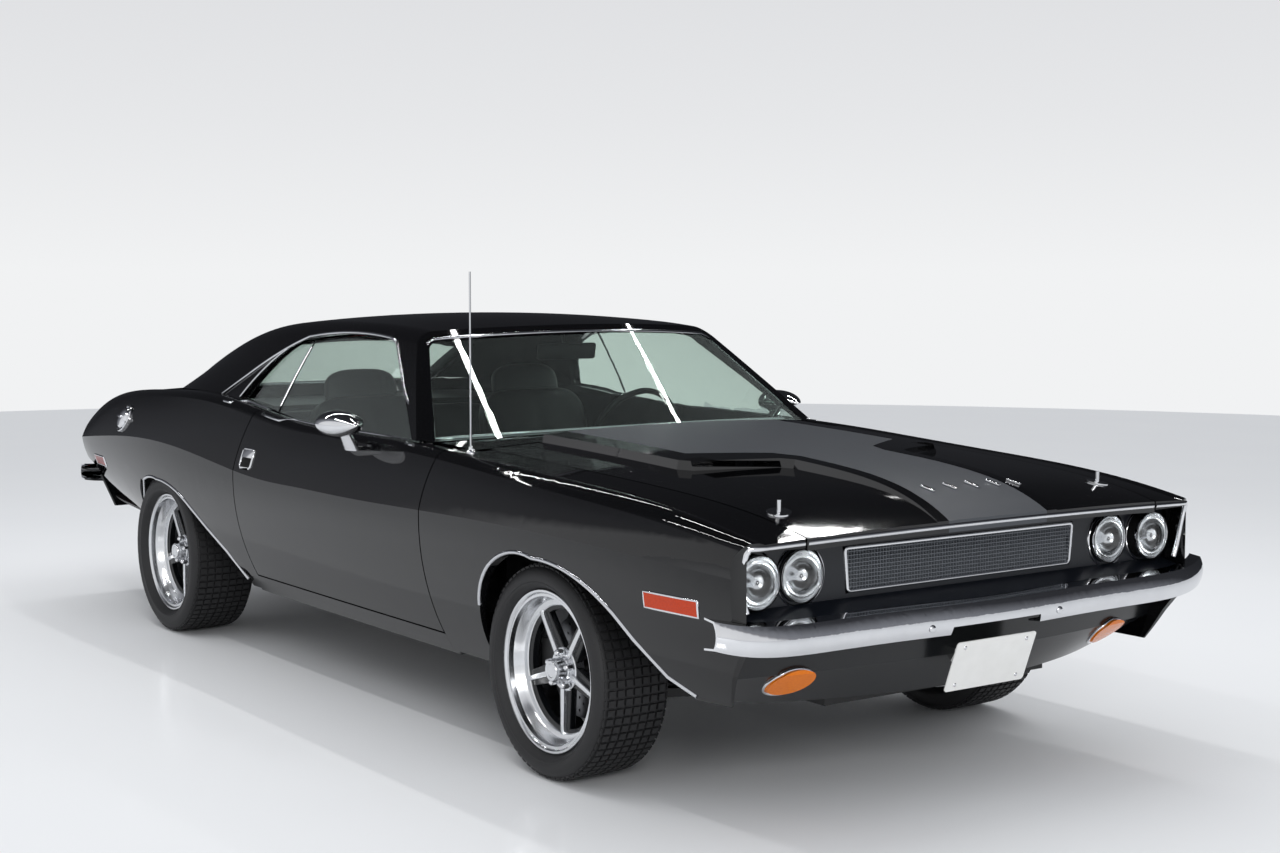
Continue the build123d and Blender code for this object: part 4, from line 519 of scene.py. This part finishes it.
# Headlamps: a black bucket, an aluminised bowl, a bulb shield, a fluted lens and bright rings
for x, front in LAMPS:
    for side in (-1, 1):
        label = "%s_%s" % ("outer" if x > 0.7 else "inner", "right" if side < 0 else "left")
        place = Matrix.Translation((side * x, front, LAMP_Z)) @ FORWARD
        form = bmesh.new()
        lathe(form, [(-0.075, 0.0700), (-0.010, 0.0700), (-0.008, 0.0708), (-0.008, 0.0685), (-0.075, 0.0685)],
              place, closed=True)
        keep_form("lamp_bucket_" + label, form, black_paint_and_painted_shade, "body_shell", "dark_panel")
        form = bmesh.new()
        lathe(form, [(-0.064, 0.0), (-0.062, 0.020), (-0.052, 0.040), (-0.034, 0.058), (-0.016, 0.0672),
                     (-0.018, 0.0680), (-0.038, 0.0600), (-0.056, 0.0420), (-0.068, 0.0200), (-0.070, 0.0)], place)
        keep_form("lamp_bowl_" + label, form, lamp_reflector, "body_shell", "bright_steel")
        form = bmesh.new()
        lathe(form, [(-0.016, 0.0672), (-0.010, 0.0600), (-0.0045, 0.0400), (-0.0015, 0.0200), (-0.0008, 0.0),
                     (-0.0048, 0.0), (-0.0055, 0.0200), (-0.0085, 0.0400), (-0.014, 0.0585), (-0.020, 0.0668)],
              place, steps=64)
        lens = keep_form("lamp_lens_" + label, form, lens_glass, "body_shell", "lamp_glass")
        form = bmesh.new()
        lathe(form, [(-0.040, 0.0), (-0.036, 0.0050), (-0.040, 0.0075), (-0.052, 0.0075), (-0.056, 0.0)], place,
              steps=24)
        keep_form("lamp_shield_" + label, form, chrome_plate, "body_shell", "chrome")
        form = bmesh.new()
        lathe(form, [(-0.018, 0.0668), (-0.012, 0.0672), (-0.009, 0.0690), (-0.010, 0.0708), (-0.018, 0.0709)],
              place, closed=True)
        keep_form("lamp_ring_" + label, form, chrome_plate, "body_shell", "chrome")
        form = bmesh.new()
        panel = Matrix.Translation((side * x, PANEL_Y, LAMP_Z)) @ FORWARD
        lathe(form, [(-0.004, 0.0840), (0.0035, 0.0830), (0.0060, 0.0805), (0.0035, 0.0780), (-0.004, 0.0770)],
              panel, closed=True)
        keep_form("panel_ring_" + label, form, chrome_plate, "body_shell", "chrome")
        if x < 0.7 and side < 0:
            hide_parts("headlamps")

# Grille: a bright frame with rounded corners round a fine mesh
form = bmesh.new()
corners = [form.verts.new(c) for c in ((-0.432, -2.272, 0.610), (0.432, -2.272, 0.610), (0.444, -2.272, 0.736),
                                       (-0.444, -2.272, 0.736))]
face = form.faces.new(corners)
bmesh.ops.bevel(form, geom=corners, offset=0.016, segments=5, profile=0.5, affect="VERTICES", material=-1)
face = max(form.faces, key=lambda f: f.calc_area())
bmesh.ops.inset_region(form, faces=[face], thickness=0.010, depth=0.0, use_boundary=True)
bmesh.ops.delete(form, geom=[max(form.faces, key=lambda f: f.calc_area())], context="FACES")
grown = bmesh.ops.extrude_face_region(form, geom=form.faces[:])["geom"]
bmesh.ops.translate(form, vec=(0, -0.022, 0), verts=[g for g in grown if isinstance(g, bmesh.types.BMVert)])
bmesh.ops.recalc_face_normals(form, faces=form.faces)
rims = [e for e in form.edges if len(e.link_faces) == 2 and e.calc_face_angle() > 1.0
        and all(v.co.y < -2.290 for v in e.verts)]
bmesh.ops.bevel(form, geom=rims, offset=0.003, segments=2, profile=0.5, affect="EDGES", material=-1)
grille_frame = keep_form("grille_frame", form, chrome_plate, "body_shell", "chrome")
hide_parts("grille")
form = bmesh.new()
GRILLE_PITCH = 0.0105
for number in range(1, 84):
    x = -0.441 + GRILLE_PITCH * number
    slab(form, (x, -2.279, 0.673), (0.0016, 0.010, 0.110))
for number in range(1, 11):
    slab(form, (0, -2.280, 0.6145 + GRILLE_PITCH * number), (0.868, 0.010, 0.0016))
keep_form("grille_mesh", form, grille_wire, "body_shell", "mesh")
# A thin black sheet just behind the mesh: painted shade standing in for the dark space behind the grille
form = bmesh.new()
slab(form, (0, -2.2725, 0.673), (0.874, 0.001, 0.116))
keep_form("grille_painted_shade_sheet", form, black_paint_and_painted_shade, "body_shell", "dark_panel")

# Wheel details
for name, side, axle_y, hub_z, track, tyre_r, tyre_w, rim_half in WHEELS:
    place = wheel_place(side, axle_y, hub_z, track)
    body = "wheel_" + name
    half = tyre_w / 2
    # Tyre: rounded side walls with moulded ribs, and a tread cut into blocks
    form = bmesh.new()
    seat = 0.2165
    inner = rim_half - 0.0073
    crown = tyre_r - 0.0075
    ribs = 7
    outside = [(inner, seat), (inner, 0.2372), (inner + 0.006, 0.2420), (half - 0.0085, 0.2500),
               (half - 0.0030, 0.2560), (half - 0.0022, 0.2585), (half - 0.0030, 0.2610),
               (half - 0.0008, tyre_r - 0.046),
               (half - 0.0002, tyre_r - 0.040), (half - 0.0020, tyre_r - 0.030), (half - 0.0080, tyre_r - 0.020),
               (half - 0.0150, crown - 0.006)]
    tread = [((half - 0.024) * (1 - 2 * n / ribs), crown - 0.002 * (1 - 2 * n / ribs) ** 2) for n in range(ribs + 1)]
    outline = outside + tread + [(-x, r) for x, r in reversed(outside)]
    lathe(form, outline, Matrix(), steps=72, closed=True)
    blocks = [f for f in form.faces if abs(f.calc_center_median().x) < half - 0.0245
              and Vector((0, *f.calc_center_median().yz)).length > crown - 0.004]
    bmesh.ops.recalc_face_normals(form, faces=form.faces)
    bmesh.ops.inset_individual(form, faces=blocks, thickness=0.0032, depth=0.0, use_even_offset=True)
    bmesh.ops.inset_individual(form, faces=blocks, thickness=0.0006, depth=0.0068, use_even_offset=True)
    shoulder = [f for f in form.faces if half - 0.0245 < abs(f.calc_center_median().x) < half - 0.012
                and Vector((0, *f.calc_center_median().yz)).length > crown - 0.008]
    bmesh.ops.inset_individual(form, faces=shoulder, thickness=0.0030, depth=0.0, use_even_offset=True)
    bmesh.ops.inset_individual(form, faces=shoulder, thickness=0.0006, depth=0.0055, use_even_offset=True)
    bmesh.ops.transform(form, matrix=place, verts=form.verts)
    tyre = keep_form("tread_tyre_" + name, form, tyre_rubber, body, "rubber", smooth=28)
    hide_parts("tyre_" + name)
    # Rim: a deep polished lip, a spider with five narrow polished ribs over black webs, and a coned centre cap
    h = rim_half
    form = bmesh.new()
    lathe(form, [(-h, 0.2360), (-h + 0.0065, 0.2360), (-h + 0.0068, 0.2158), (h - 0.0068, 0.2158),
                 (h - 0.0065, 0.2360), (h - 0.0015, 0.2362), (h, 0.2345), (h, 0.2285),
                 (h - 0.0030, 0.2250), (h - 0.0300, 0.2130),
                 (h - 0.0420, 0.2075), (0.053, 0.2050), (0.049, 0.2025), (0.0475, 0.1990),
                 (0.0460, 0.1880), (0.0435, 0.1850), (0.0240, 0.1850), (0.0220, 0.1990), (-h + 0.016, 0.2080),
                 (-h + 0.004, 0.2200), (-h, 0.2280)], place, steps=72, closed=True)
    lathe(form, [(0.012, 0.0300), (0.012, 0.0660), (0.040, 0.0640), (0.0425, 0.0610), (0.0425, 0.0300)], place,
          closed=True)
    lathe(form, [(0.040, 0.0), (0.040, 0.0375), (0.047, 0.0372), (0.050, 0.0345), (0.070, 0.0315), (0.083, 0.0305),
                 (0.0865, 0.0285), (0.0872, 0.0260), (0.0862, 0.0205), (0.0846, 0.0190), (0.0846, 0.0)], place)
    webs = bmesh.new()
    for number in range(5):
        turn = place @ Matrix.Rotation(math.tau * (number + 0.5) / 5, 4, "X")
        for target, low, high, near, far in ((form, 0.020, 0.0485, 0.019, 0.0145),
                                             (webs, 0.014, 0.0370, 0.064, 0.0460)):
            rib = bmesh.ops.create_cube(target, size=1.0)["verts"]
            for v in rib:
                outward = v.co.z + 0.5
                v.co.x = (low if v.co.x < 0 else high) + 0.001 * outward
                v.co.y *= near + (far - near) * outward
                v.co.z = 0.050 + 0.140 * outward
            edges = {e for v in rib for e in v.link_edges}
            edges = [e for e in edges if abs(e.verts[0].co.z - e.verts[1].co.z) > 0.1]
            rounded = bmesh.ops.bevel(target, geom=edges, offset=0.0035, segments=3, profile=0.5, affect="EDGES",
                                      material=-1)["faces"]
            bmesh.ops.transform(target, matrix=turn, verts=list({v for f in rounded for v in f.verts}))
    lathe(webs, [(0.016, 0.1740), (0.016, 0.1880), (0.038, 0.1880), (0.040, 0.1855), (0.036, 0.1740)], place,
          steps=72, closed=True)
    rim = keep_form("alloy_rim_" + name, form, polished_alloy, body, "polished", smooth=32)
    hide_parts("rim_" + name)
    keep_form("spoke_webs_" + name, webs, valance_enamel, body, "dark_panel", smooth=32)
    # Lug nuts with rounded tips
    form = bmesh.new()
    for number in range(5):
        turn = Matrix.Rotation(math.tau * number / 5, 4, "X")
        nut = bmesh.ops.create_cone(form, cap_ends=True, segments=6, radius1=0.0105, radius2=0.0105,
                                    depth=0.018)["verts"]
        bmesh.ops.transform(form, matrix=place @ turn @ Matrix.Translation((0.055, 0, 0.050))
                            @ Matrix.Rotation(math.pi / 2, 4, "Y"), verts=nut)
        tip = bmesh.ops.create_uvsphere(form, u_segments=12, v_segments=8, radius=0.0098)["verts"]
        bmesh.ops.transform(form, matrix=place @ turn @ Matrix.Translation((0.063, 0, 0.050)), verts=tip)
    keep_form("lug_nuts_" + name, form, chrome_plate, body, "chrome", smooth=35)

# Red calipers over the cast ones
for side, label in ((-1, "right"), (1, "left")):
    form = bmesh.new()
    slab(form, (side * 0.7530, -1.3600, 0.314), (0.012, 0.052, 0.110), edge=0.005, steps=3)
    keep_form("caliper_cover_" + label, form, caliper_enamel, "knuckle_" + label, "paint")

# Bumper bolts, domed and chromed
form = bmesh.new()
for x, y, z in ((0.725, -2.4165, 0.533), (0.245, -2.4290, 0.515)):
    for side in (-1, 1):
        dome = bmesh.ops.create_uvsphere(form, u_segments=20, v_segments=10, radius=0.011)["verts"]
        place = Matrix.Translation((side * x, y + 0.0035, z)) @ Matrix.Diagonal((1, 0.35, 1, 1))
        bmesh.ops.transform(form, matrix=place, verts=dome)
keep_form("bumper_bolts", form, chrome_plate, "body_shell", "chrome")

# Five small slanted bars on the hood's nose
form = bmesh.new()
hood_skin = skin_of("hood")
for number in range(5):
    x = -0.118 + 0.084 * number
    spot, _ = reach(hood_skin, (x, -2.268, 1.3), (0, 0, -1))
    tilt = Matrix.Rotation(math.radians(16), 4, "X") @ Matrix.Rotation(math.radians(14), 4, "Z")
    slab(form, spot + Vector((0, 0, 0.003)), (0.011, 0.046, 0.008), edge=0.0025, turn=tilt)
keep_form("nose_bars", form, chrome_plate, "hood", "chrome")

# Marker lamp bezels. Each row: middle y, middle z, length, height
MARKERS = [(-2.134, 0.606, 0.205, 0.042), (2.082, 0.632, 0.150, 0.040)]
for y, z, length, height in MARKERS:
    points = []
    ring = [(y - length / 2, z - height / 2), (y + length / 2, z - height / 2), (y + length / 2, z + height / 2),
            (y - length / 2, z + height / 2)]
    for number, start in enumerate(ring):
        end = ring[(number + 1) % 4]
        for step in range(6):
            py, pz = (a + (b - a) * step / 6 for a, b in zip(start, end))
            spot, _ = reach(side_skin, (-1.3, py + 0.001 * (py - y) / length, pz), (1, 0, 0))
            if spot:
                points.append(spot)
    points = [p for p in points if abs(p.x) > 0.80]
    for side, line in (("right", points), ("left", mirrored(points))):
        bar_along("marker_bezel_%s_%s" % ("front" if y < 0 else "rear", side), line, 0.0042, chrome_plate,
                  "body_shell", "chrome", closed=True)

# Parking lamp rings
lamp_skin, valance_skin = skin_of("parking_lamps"), skin_of("valance_front")
ring = opening_edge(lamp_skin, valance_skin, (-0.612, -2.30, 0.392), (-1, 0, 0), (0, 0, 1), (0.11, 0.075), 48)
if len(ring) > 20:
    for side, points in (("right", ring), ("left", mirrored(ring))):
        bar_along("parking_lamp_ring_" + side, [p - Vector((0, 0.001, 0)) for p in points], 0.0045, chrome_plate,
                  "body_shell", "chrome", closed=True)


def patch(form, corners, lift, edge):
    """A plate with rounded edges on four points of a skin, raised by lift."""
    made = [form.verts.new(c) for c in corners]
    face = form.faces.new(made)
    face.normal_update()
    out = face.normal.copy()
    grown = bmesh.ops.extrude_face_region(form, geom=[face])["geom"]
    top = [g for g in grown if isinstance(g, bmesh.types.BMVert)]
    bmesh.ops.translate(form, vec=out * lift, verts=top)
    rim_edges = [e for v in top for e in v.link_edges if e.other_vert(v) in top]
    bmesh.ops.bevel(form, geom=list(set(rim_edges)), offset=edge, segments=2, profile=0.5, affect="EDGES",
                    material=-1)


# Door handles: a chrome frame round a flat matt black plate, painted shade standing in for the recess, with a chrome
# flap in its upper half
door_skin = skin_of("door_right")
for side, label in ((-1, "right"), (1, "left")):
    def on_door(y, z, lift=0.0):
        spot, _ = reach(door_skin, (-1.3, y, z), (1, 0, 0))
        return Vector((-side * (spot.x - lift), y, z))

    square = [(0.382, 0.741), (0.470, 0.741), (0.470, 0.809), (0.382, 0.809)]
    outline = []
    for number, start in enumerate(square):
        end = square[(number + 1) % 4]
        for step in range(4):
            outline.append(on_door(*(a + (b - a) * (step + 0.5) / 4 for a, b in zip(start, end)), 0.001))
    bar_along("handle_frame_" + label, outline, 0.0048, chrome_plate, "door_" + label, "chrome", closed=True)
    order = 1 if side > 0 else -1
    # The recess is a flat black plate raised on the door: painted shade, not a real hollow
    form = bmesh.new()
    patch(form, [on_door(y, z) for y, z in [(0.386, 0.745), (0.466, 0.745), (0.466, 0.776), (0.386, 0.776)][::order]],
          0.0015, 0.0005)
    keep_form("handle_recess_painted_shade_" + label, form, black_paint_and_painted_shade, "door_" + label, "dark_panel")
    form = bmesh.new()
    patch(form, [on_door(y, z) for y, z in [(0.387, 0.777), (0.465, 0.777), (0.465, 0.806), (0.387, 0.806)][::order]],
          0.006, 0.0025)
    keep_form("handle_flap_" + label, form, chrome_plate, "door_" + label, "chrome")

# Fuel filler cap, square to the body's side, with a ring of screws
spot, normal, _, _ = side_skin.ray_cast(Vector((-1.3, 1.704, 0.841)), Vector((1, 0, 0)))
normal = normal if normal.x < 0 else -normal
place = Matrix.Translation(spot) @ normal.to_track_quat("X", "Z").to_matrix().to_4x4()
form = bmesh.new()
lathe(form, [(-0.008, 0.0), (-0.008, 0.0610), (0.004, 0.0610), (0.007, 0.0585), (0.007, 0.0500), (0.005, 0.0470),
             (0.010, 0.0445), (0.017, 0.0400), (0.022, 0.0280), (0.024, 0.0120), (0.0245, 0.0)], place, steps=56)
slab(form, place @ Vector((0.025, 0, 0)), (0.010, 0.056, 0.012), edge=0.003, turn=place.to_3x3().to_4x4())
cap = keep_form("filler_cap", form, chrome_plate, "body_shell", "chrome", smooth=30)
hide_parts("fuel_cap")
form = bmesh.new()
for number in range(10):
    turn = Matrix.Rotation(math.tau * number / 10, 4, "X")
    dome = bmesh.ops.create_uvsphere(form, u_segments=10, v_segments=6, radius=0.0038)["verts"]
    bmesh.ops.transform(form, matrix=place @ turn @ Matrix.Translation((0.0068, 0, 0.0545)), verts=dome)
keep_form("filler_screws", form, black_paint_and_painted_shade, "body_shell", "dark_panel")

# Rear-view mirror on its stem
form = bmesh.new()
slab(form, (0, -0.292, 1.168), (0.245, 0.022, 0.058), edge=0.009, steps=3, turn=Matrix.Rotation(0.18, 4, "X"))
slab(form, (0, -0.275, 1.205), (0.012, 0.012, 0.060), edge=0.003, turn=Matrix.Rotation(-0.35, 4, "X"))
keep_form("rear_view_mirror", form, dash_plastic, "body_shell", "dark_panel")


def pad(name, size, place, channels, replaced=None, pinch=0.10, round_off=5.0):
    """A stuffed pad: full in the middle, drawn in at its seams, with sewn channels along its length."""
    form = bmesh.new()
    bmesh.ops.create_cube(form, size=2.0)
    bmesh.ops.subdivide_edges(form, edges=form.edges[:], cuts=17, use_grid_fill=True)
    for v in form.verts:
        u, w, t = v.co
        shrink = (abs(u) ** round_off + abs(w) ** round_off + abs(t) ** round_off) ** (1 / round_off)
        u, w, t = (c / shrink for c in (u, w, t))
        crown = (1 - u * u) * (1 - w * w)
        t = t * (1 - pinch + pinch * crown)
        if t > 0.3 and abs(w) < 0.78 and abs(u) < 0.78 and channels:
            pleat = abs(math.sin(math.pi * (u / 0.78 + 1) / 2 * channels))
            t -= 0.10 * (1 - pleat) ** 3 * min(1, (0.78 - abs(w)) * 8)
        v.co = (u * size[0] / 2, w * size[1] / 2, t * size[2] / 2)
    bmesh.ops.transform(form, matrix=place, verts=form.verts)
    piece = keep_form(name, form, seat_vinyl, "body_shell", "seat_vinyl", smooth=70)
    if replaced:
        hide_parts(replaced)


# Seats: crowned, stitched pads on the lines of the plain ones
for x, label in ((-0.372, "right"), (0.372, "left")):
    pad("seat_cushion_" + label, (0.50, 0.58, 0.165), Matrix.Translation((x, 0.145, 0.400))
                @ Matrix.Rotation(math.radians(4), 4, "X"), 6, "front_seats" if x < 0 else None)
    pad("seat_back_" + label, (0.48, 0.56, 0.130), Matrix.Translation((x, 0.480, 0.705))
        @ Matrix.Rotation(math.radians(90 - 17), 4, "X"), 6)
    pad("head_restraint_" + label, (0.30, 0.19, 0.105), Matrix.Translation((x, 0.583, 0.985))
        @ Matrix.Rotation(math.radians(90 - 12), 4, "X"), 0, pinch=0.2, round_off=3.2)
for x, label in ((-0.292, "right"), (0.292, "left")):
    pad("rear_cushion_" + label, (0.575, 0.46, 0.155), Matrix.Translation((x, 0.925, 0.420)), 6,
        "rear_seat" if x < 0 else None)
    pad("rear_back_" + label, (0.575, 0.44, 0.130), Matrix.Translation((x, 1.125, 0.665))
        @ Matrix.Rotation(math.radians(90 - 14), 4, "X"), 6)

# Tail: bright surrounds and moulded ribs on the three lamps
tail_face = max(corner[1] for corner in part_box("tail_lamps"))
TAIL_LOW, TAIL_HIGH = 0.622, 0.752
for x0, x1, label in ((-0.742, -0.196, "right"), (-0.186, 0.186, "middle"), (0.196, 0.742, "left")):
    ring = [Vector((x, tail_face - 0.001, z)) for x, z in
            ((x0 + 0.003, TAIL_LOW + 0.003), (x1 - 0.003, TAIL_LOW + 0.003), (x1 - 0.003, TAIL_HIGH - 0.003),
             (x0 + 0.003, TAIL_HIGH - 0.003))]
    bar_along("tail_lamp_rim_" + label, ring, 0.0040, chrome_plate, "body_shell", "chrome", closed=True)
    form = bmesh.new()
    for number in range(1, 4):
        z = TAIL_LOW + (TAIL_HIGH - TAIL_LOW) * number / 4
        slab(form, ((x0 + x1) / 2, tail_face, z), (x1 - x0 - 0.010, 0.004, 0.003), edge=0.001)
    keep_form("tail_lamp_ribs_" + label, form, red_lens, "body_shell", "red_lens")

# Plate bolts, one near each corner
form = bmesh.new()
for x, y, z in ((-0.118, -2.4285, 0.450), (0.118, -2.4285, 0.450), (-0.118, -2.3860, 0.342), (0.118, -2.3860, 0.342)):
    spot, _ = reach(skin_of("plate_front"), (x, -3, z), (0, 1, 0))
    if spot:
        dome = bmesh.ops.create_uvsphere(form, u_segments=12, v_segments=8, radius=0.006)["verts"]
        bmesh.ops.transform(form, matrix=Matrix.Translation(spot) @ Matrix.Diagonal((1, 0.4, 1, 1)), verts=dome)
keep_form("plate_bolts", form, chrome_plate, "body_shell", "chrome")

# Antenna base: a chrome dome with a nut
form = bmesh.new()
UP = Matrix.Rotation(-math.pi / 2, 4, "Y")
lathe(form, [(-0.004, 0.0), (-0.004, 0.0190), (0.002, 0.0185), (0.008, 0.0140), (0.012, 0.0080), (0.020, 0.0070),
             (0.022, 0.0045), (0.022, 0.0)], Matrix.Translation((-0.800, -0.973, 0.899)) @ UP, steps=32)
keep_form("antenna_base", form, chrome_plate, "body_shell", "chrome")


# Floor and light

def plain_floor():
    """A smooth pale studio floor that fades into the background at its rim."""
    form = bmesh.new()
    bmesh.ops.create_circle(form, cap_ends=True, segments=96, radius=14.0)
    mesh = bpy.data.meshes.new("floor")
    form.to_mesh(mesh)
    form.free()
    floor = bpy.data.objects.new("floor", mesh)
    bpy.context.scene.collection.objects.link(floor)
    material = finish("painted_studio_floor", "#f6f7f8", "#f3f4f6", 900, 0.0,
                      {"Roughness": 0.9, "Specular IOR Level": 0.0})
    tree = material.node_tree
    sheen = add_node(tree, "ShaderNodeBsdfGlossy", {"Roughness": 0.12})
    paint = tree.nodes["Principled BSDF"]
    mixed = add_node(tree, "ShaderNodeMixShader", {0: 0.10}, {1: paint.outputs[0], 2: sheen.outputs[0]})
    tree.links.new(mixed.outputs[0], tree.nodes["Material Output"].inputs["Surface"])
    mesh.materials.append(material)


plain_floor()


def soft_light(name, place, target, size, power):
    """An area lamp of that size, in metres, aimed at a point."""
    data = bpy.data.lights.new(name, "AREA")
    data.shape = "RECTANGLE"
    data.size, data.size_y = size
    data.energy = power
    lamp = bpy.data.objects.new(name, data)
    lamp.location = place
    lamp.rotation_euler = (Vector(target) - Vector(place)).to_track_quat("-Z", "Y").to_euler()
    lamp.visible_camera = False
    bpy.context.scene.collection.objects.link(lamp)


for x, power in ((-2.0, 22), (0.3, 24), (2.6, 24)):
    soft_light("ceiling_strip", (x, -0.5, 3.9), (x, -0.5, 0), (0.055, 3.2), power)
soft_light("ceiling_cross_strip", (0.0, 2.9, 3.9), (0, 2.9, 0), (5.0, 0.055), 26)
soft_light("front_softbox", (-3.5, -7.5, 3.2), (0, -1.5, 0.5), (2.5, 1.6), 110)

# Rays that look straight out or through glass see a pale wall; mirror-like paint and chrome see the room the
# car stands in, bright on its right and dark behind and above; the fill light is plain.
world = bpy.data.worlds.new("studio")
bpy.context.scene.world = world
world.use_nodes = True
sky = world.node_tree
sky.nodes.clear()


def shades(places, source):
    """Steps of colour along a value, in the order given."""
    ramp = add_node(sky, "ShaderNodeValToRGB", links={0: source})
    stops = ramp.color_ramp.elements
    while len(stops) < len(places):
        stops.new(0.5)
    for stop, (position, code) in zip(stops, places):
        stop.position = position
        stop.color = colour(code)
    return ramp.outputs[0]


rays = add_node(sky, "ShaderNodeLightPath")
straight = add_node(sky, "ShaderNodeMath", links={0: rays.outputs["Is Camera Ray"],
                                                  1: rays.outputs["Is Transmission Ray"]}, operation="MAXIMUM")
direction = add_node(sky, "ShaderNodeTexCoord")
apart = add_node(sky, "ShaderNodeSeparateXYZ", links={0: direction.outputs["Generated"]})
wall = shades([(0.0, "#f1f2f3"), (0.08, "#e6e7e9"), (0.30, "#cfd0d4"), (1.0, "#b9babe")], apart.outputs["Z"])
lean = add_node(sky, "ShaderNodeVectorMath", {1: (0.30, 0.17, 0.23)}, {0: direction.outputs["Generated"]},
                operation="DOT_PRODUCT")
along = add_node(sky, "ShaderNodeMath", {1: 0.4}, {0: lean.outputs["Value"]}, operation="ADD")
room = shades([(0.0, "#f4f5f6"), (0.40, "#e4e5e8"), (0.435, "#8c8d92"), (0.485, "#7e8086"), (0.60, "#35363a"),
               (0.80, "#222326")], along.outputs[0])
seen = add_node(sky, "ShaderNodeMix", links={0: straight.outputs[0], 6: room, 7: wall}, data_type="RGBA")
shown = add_node(sky, "ShaderNodeMath", links={0: straight.outputs[0], 1: rays.outputs["Is Glossy Ray"]},
                 operation="MAXIMUM")
backdrop = add_node(sky, "ShaderNodeBackground", {"Strength": 1.0}, {"Color": seen.outputs[2]})
fill = add_node(sky, "ShaderNodeBackground", {"Color": colour("#f0f2f5"), "Strength": 0.85})
both = add_node(sky, "ShaderNodeMixShader", links={0: shown.outputs[0], 1: fill.outputs[0], 2: backdrop.outputs[0]})
add_node(sky, "ShaderNodeOutputWorld", links={0: both.outputs[0]})
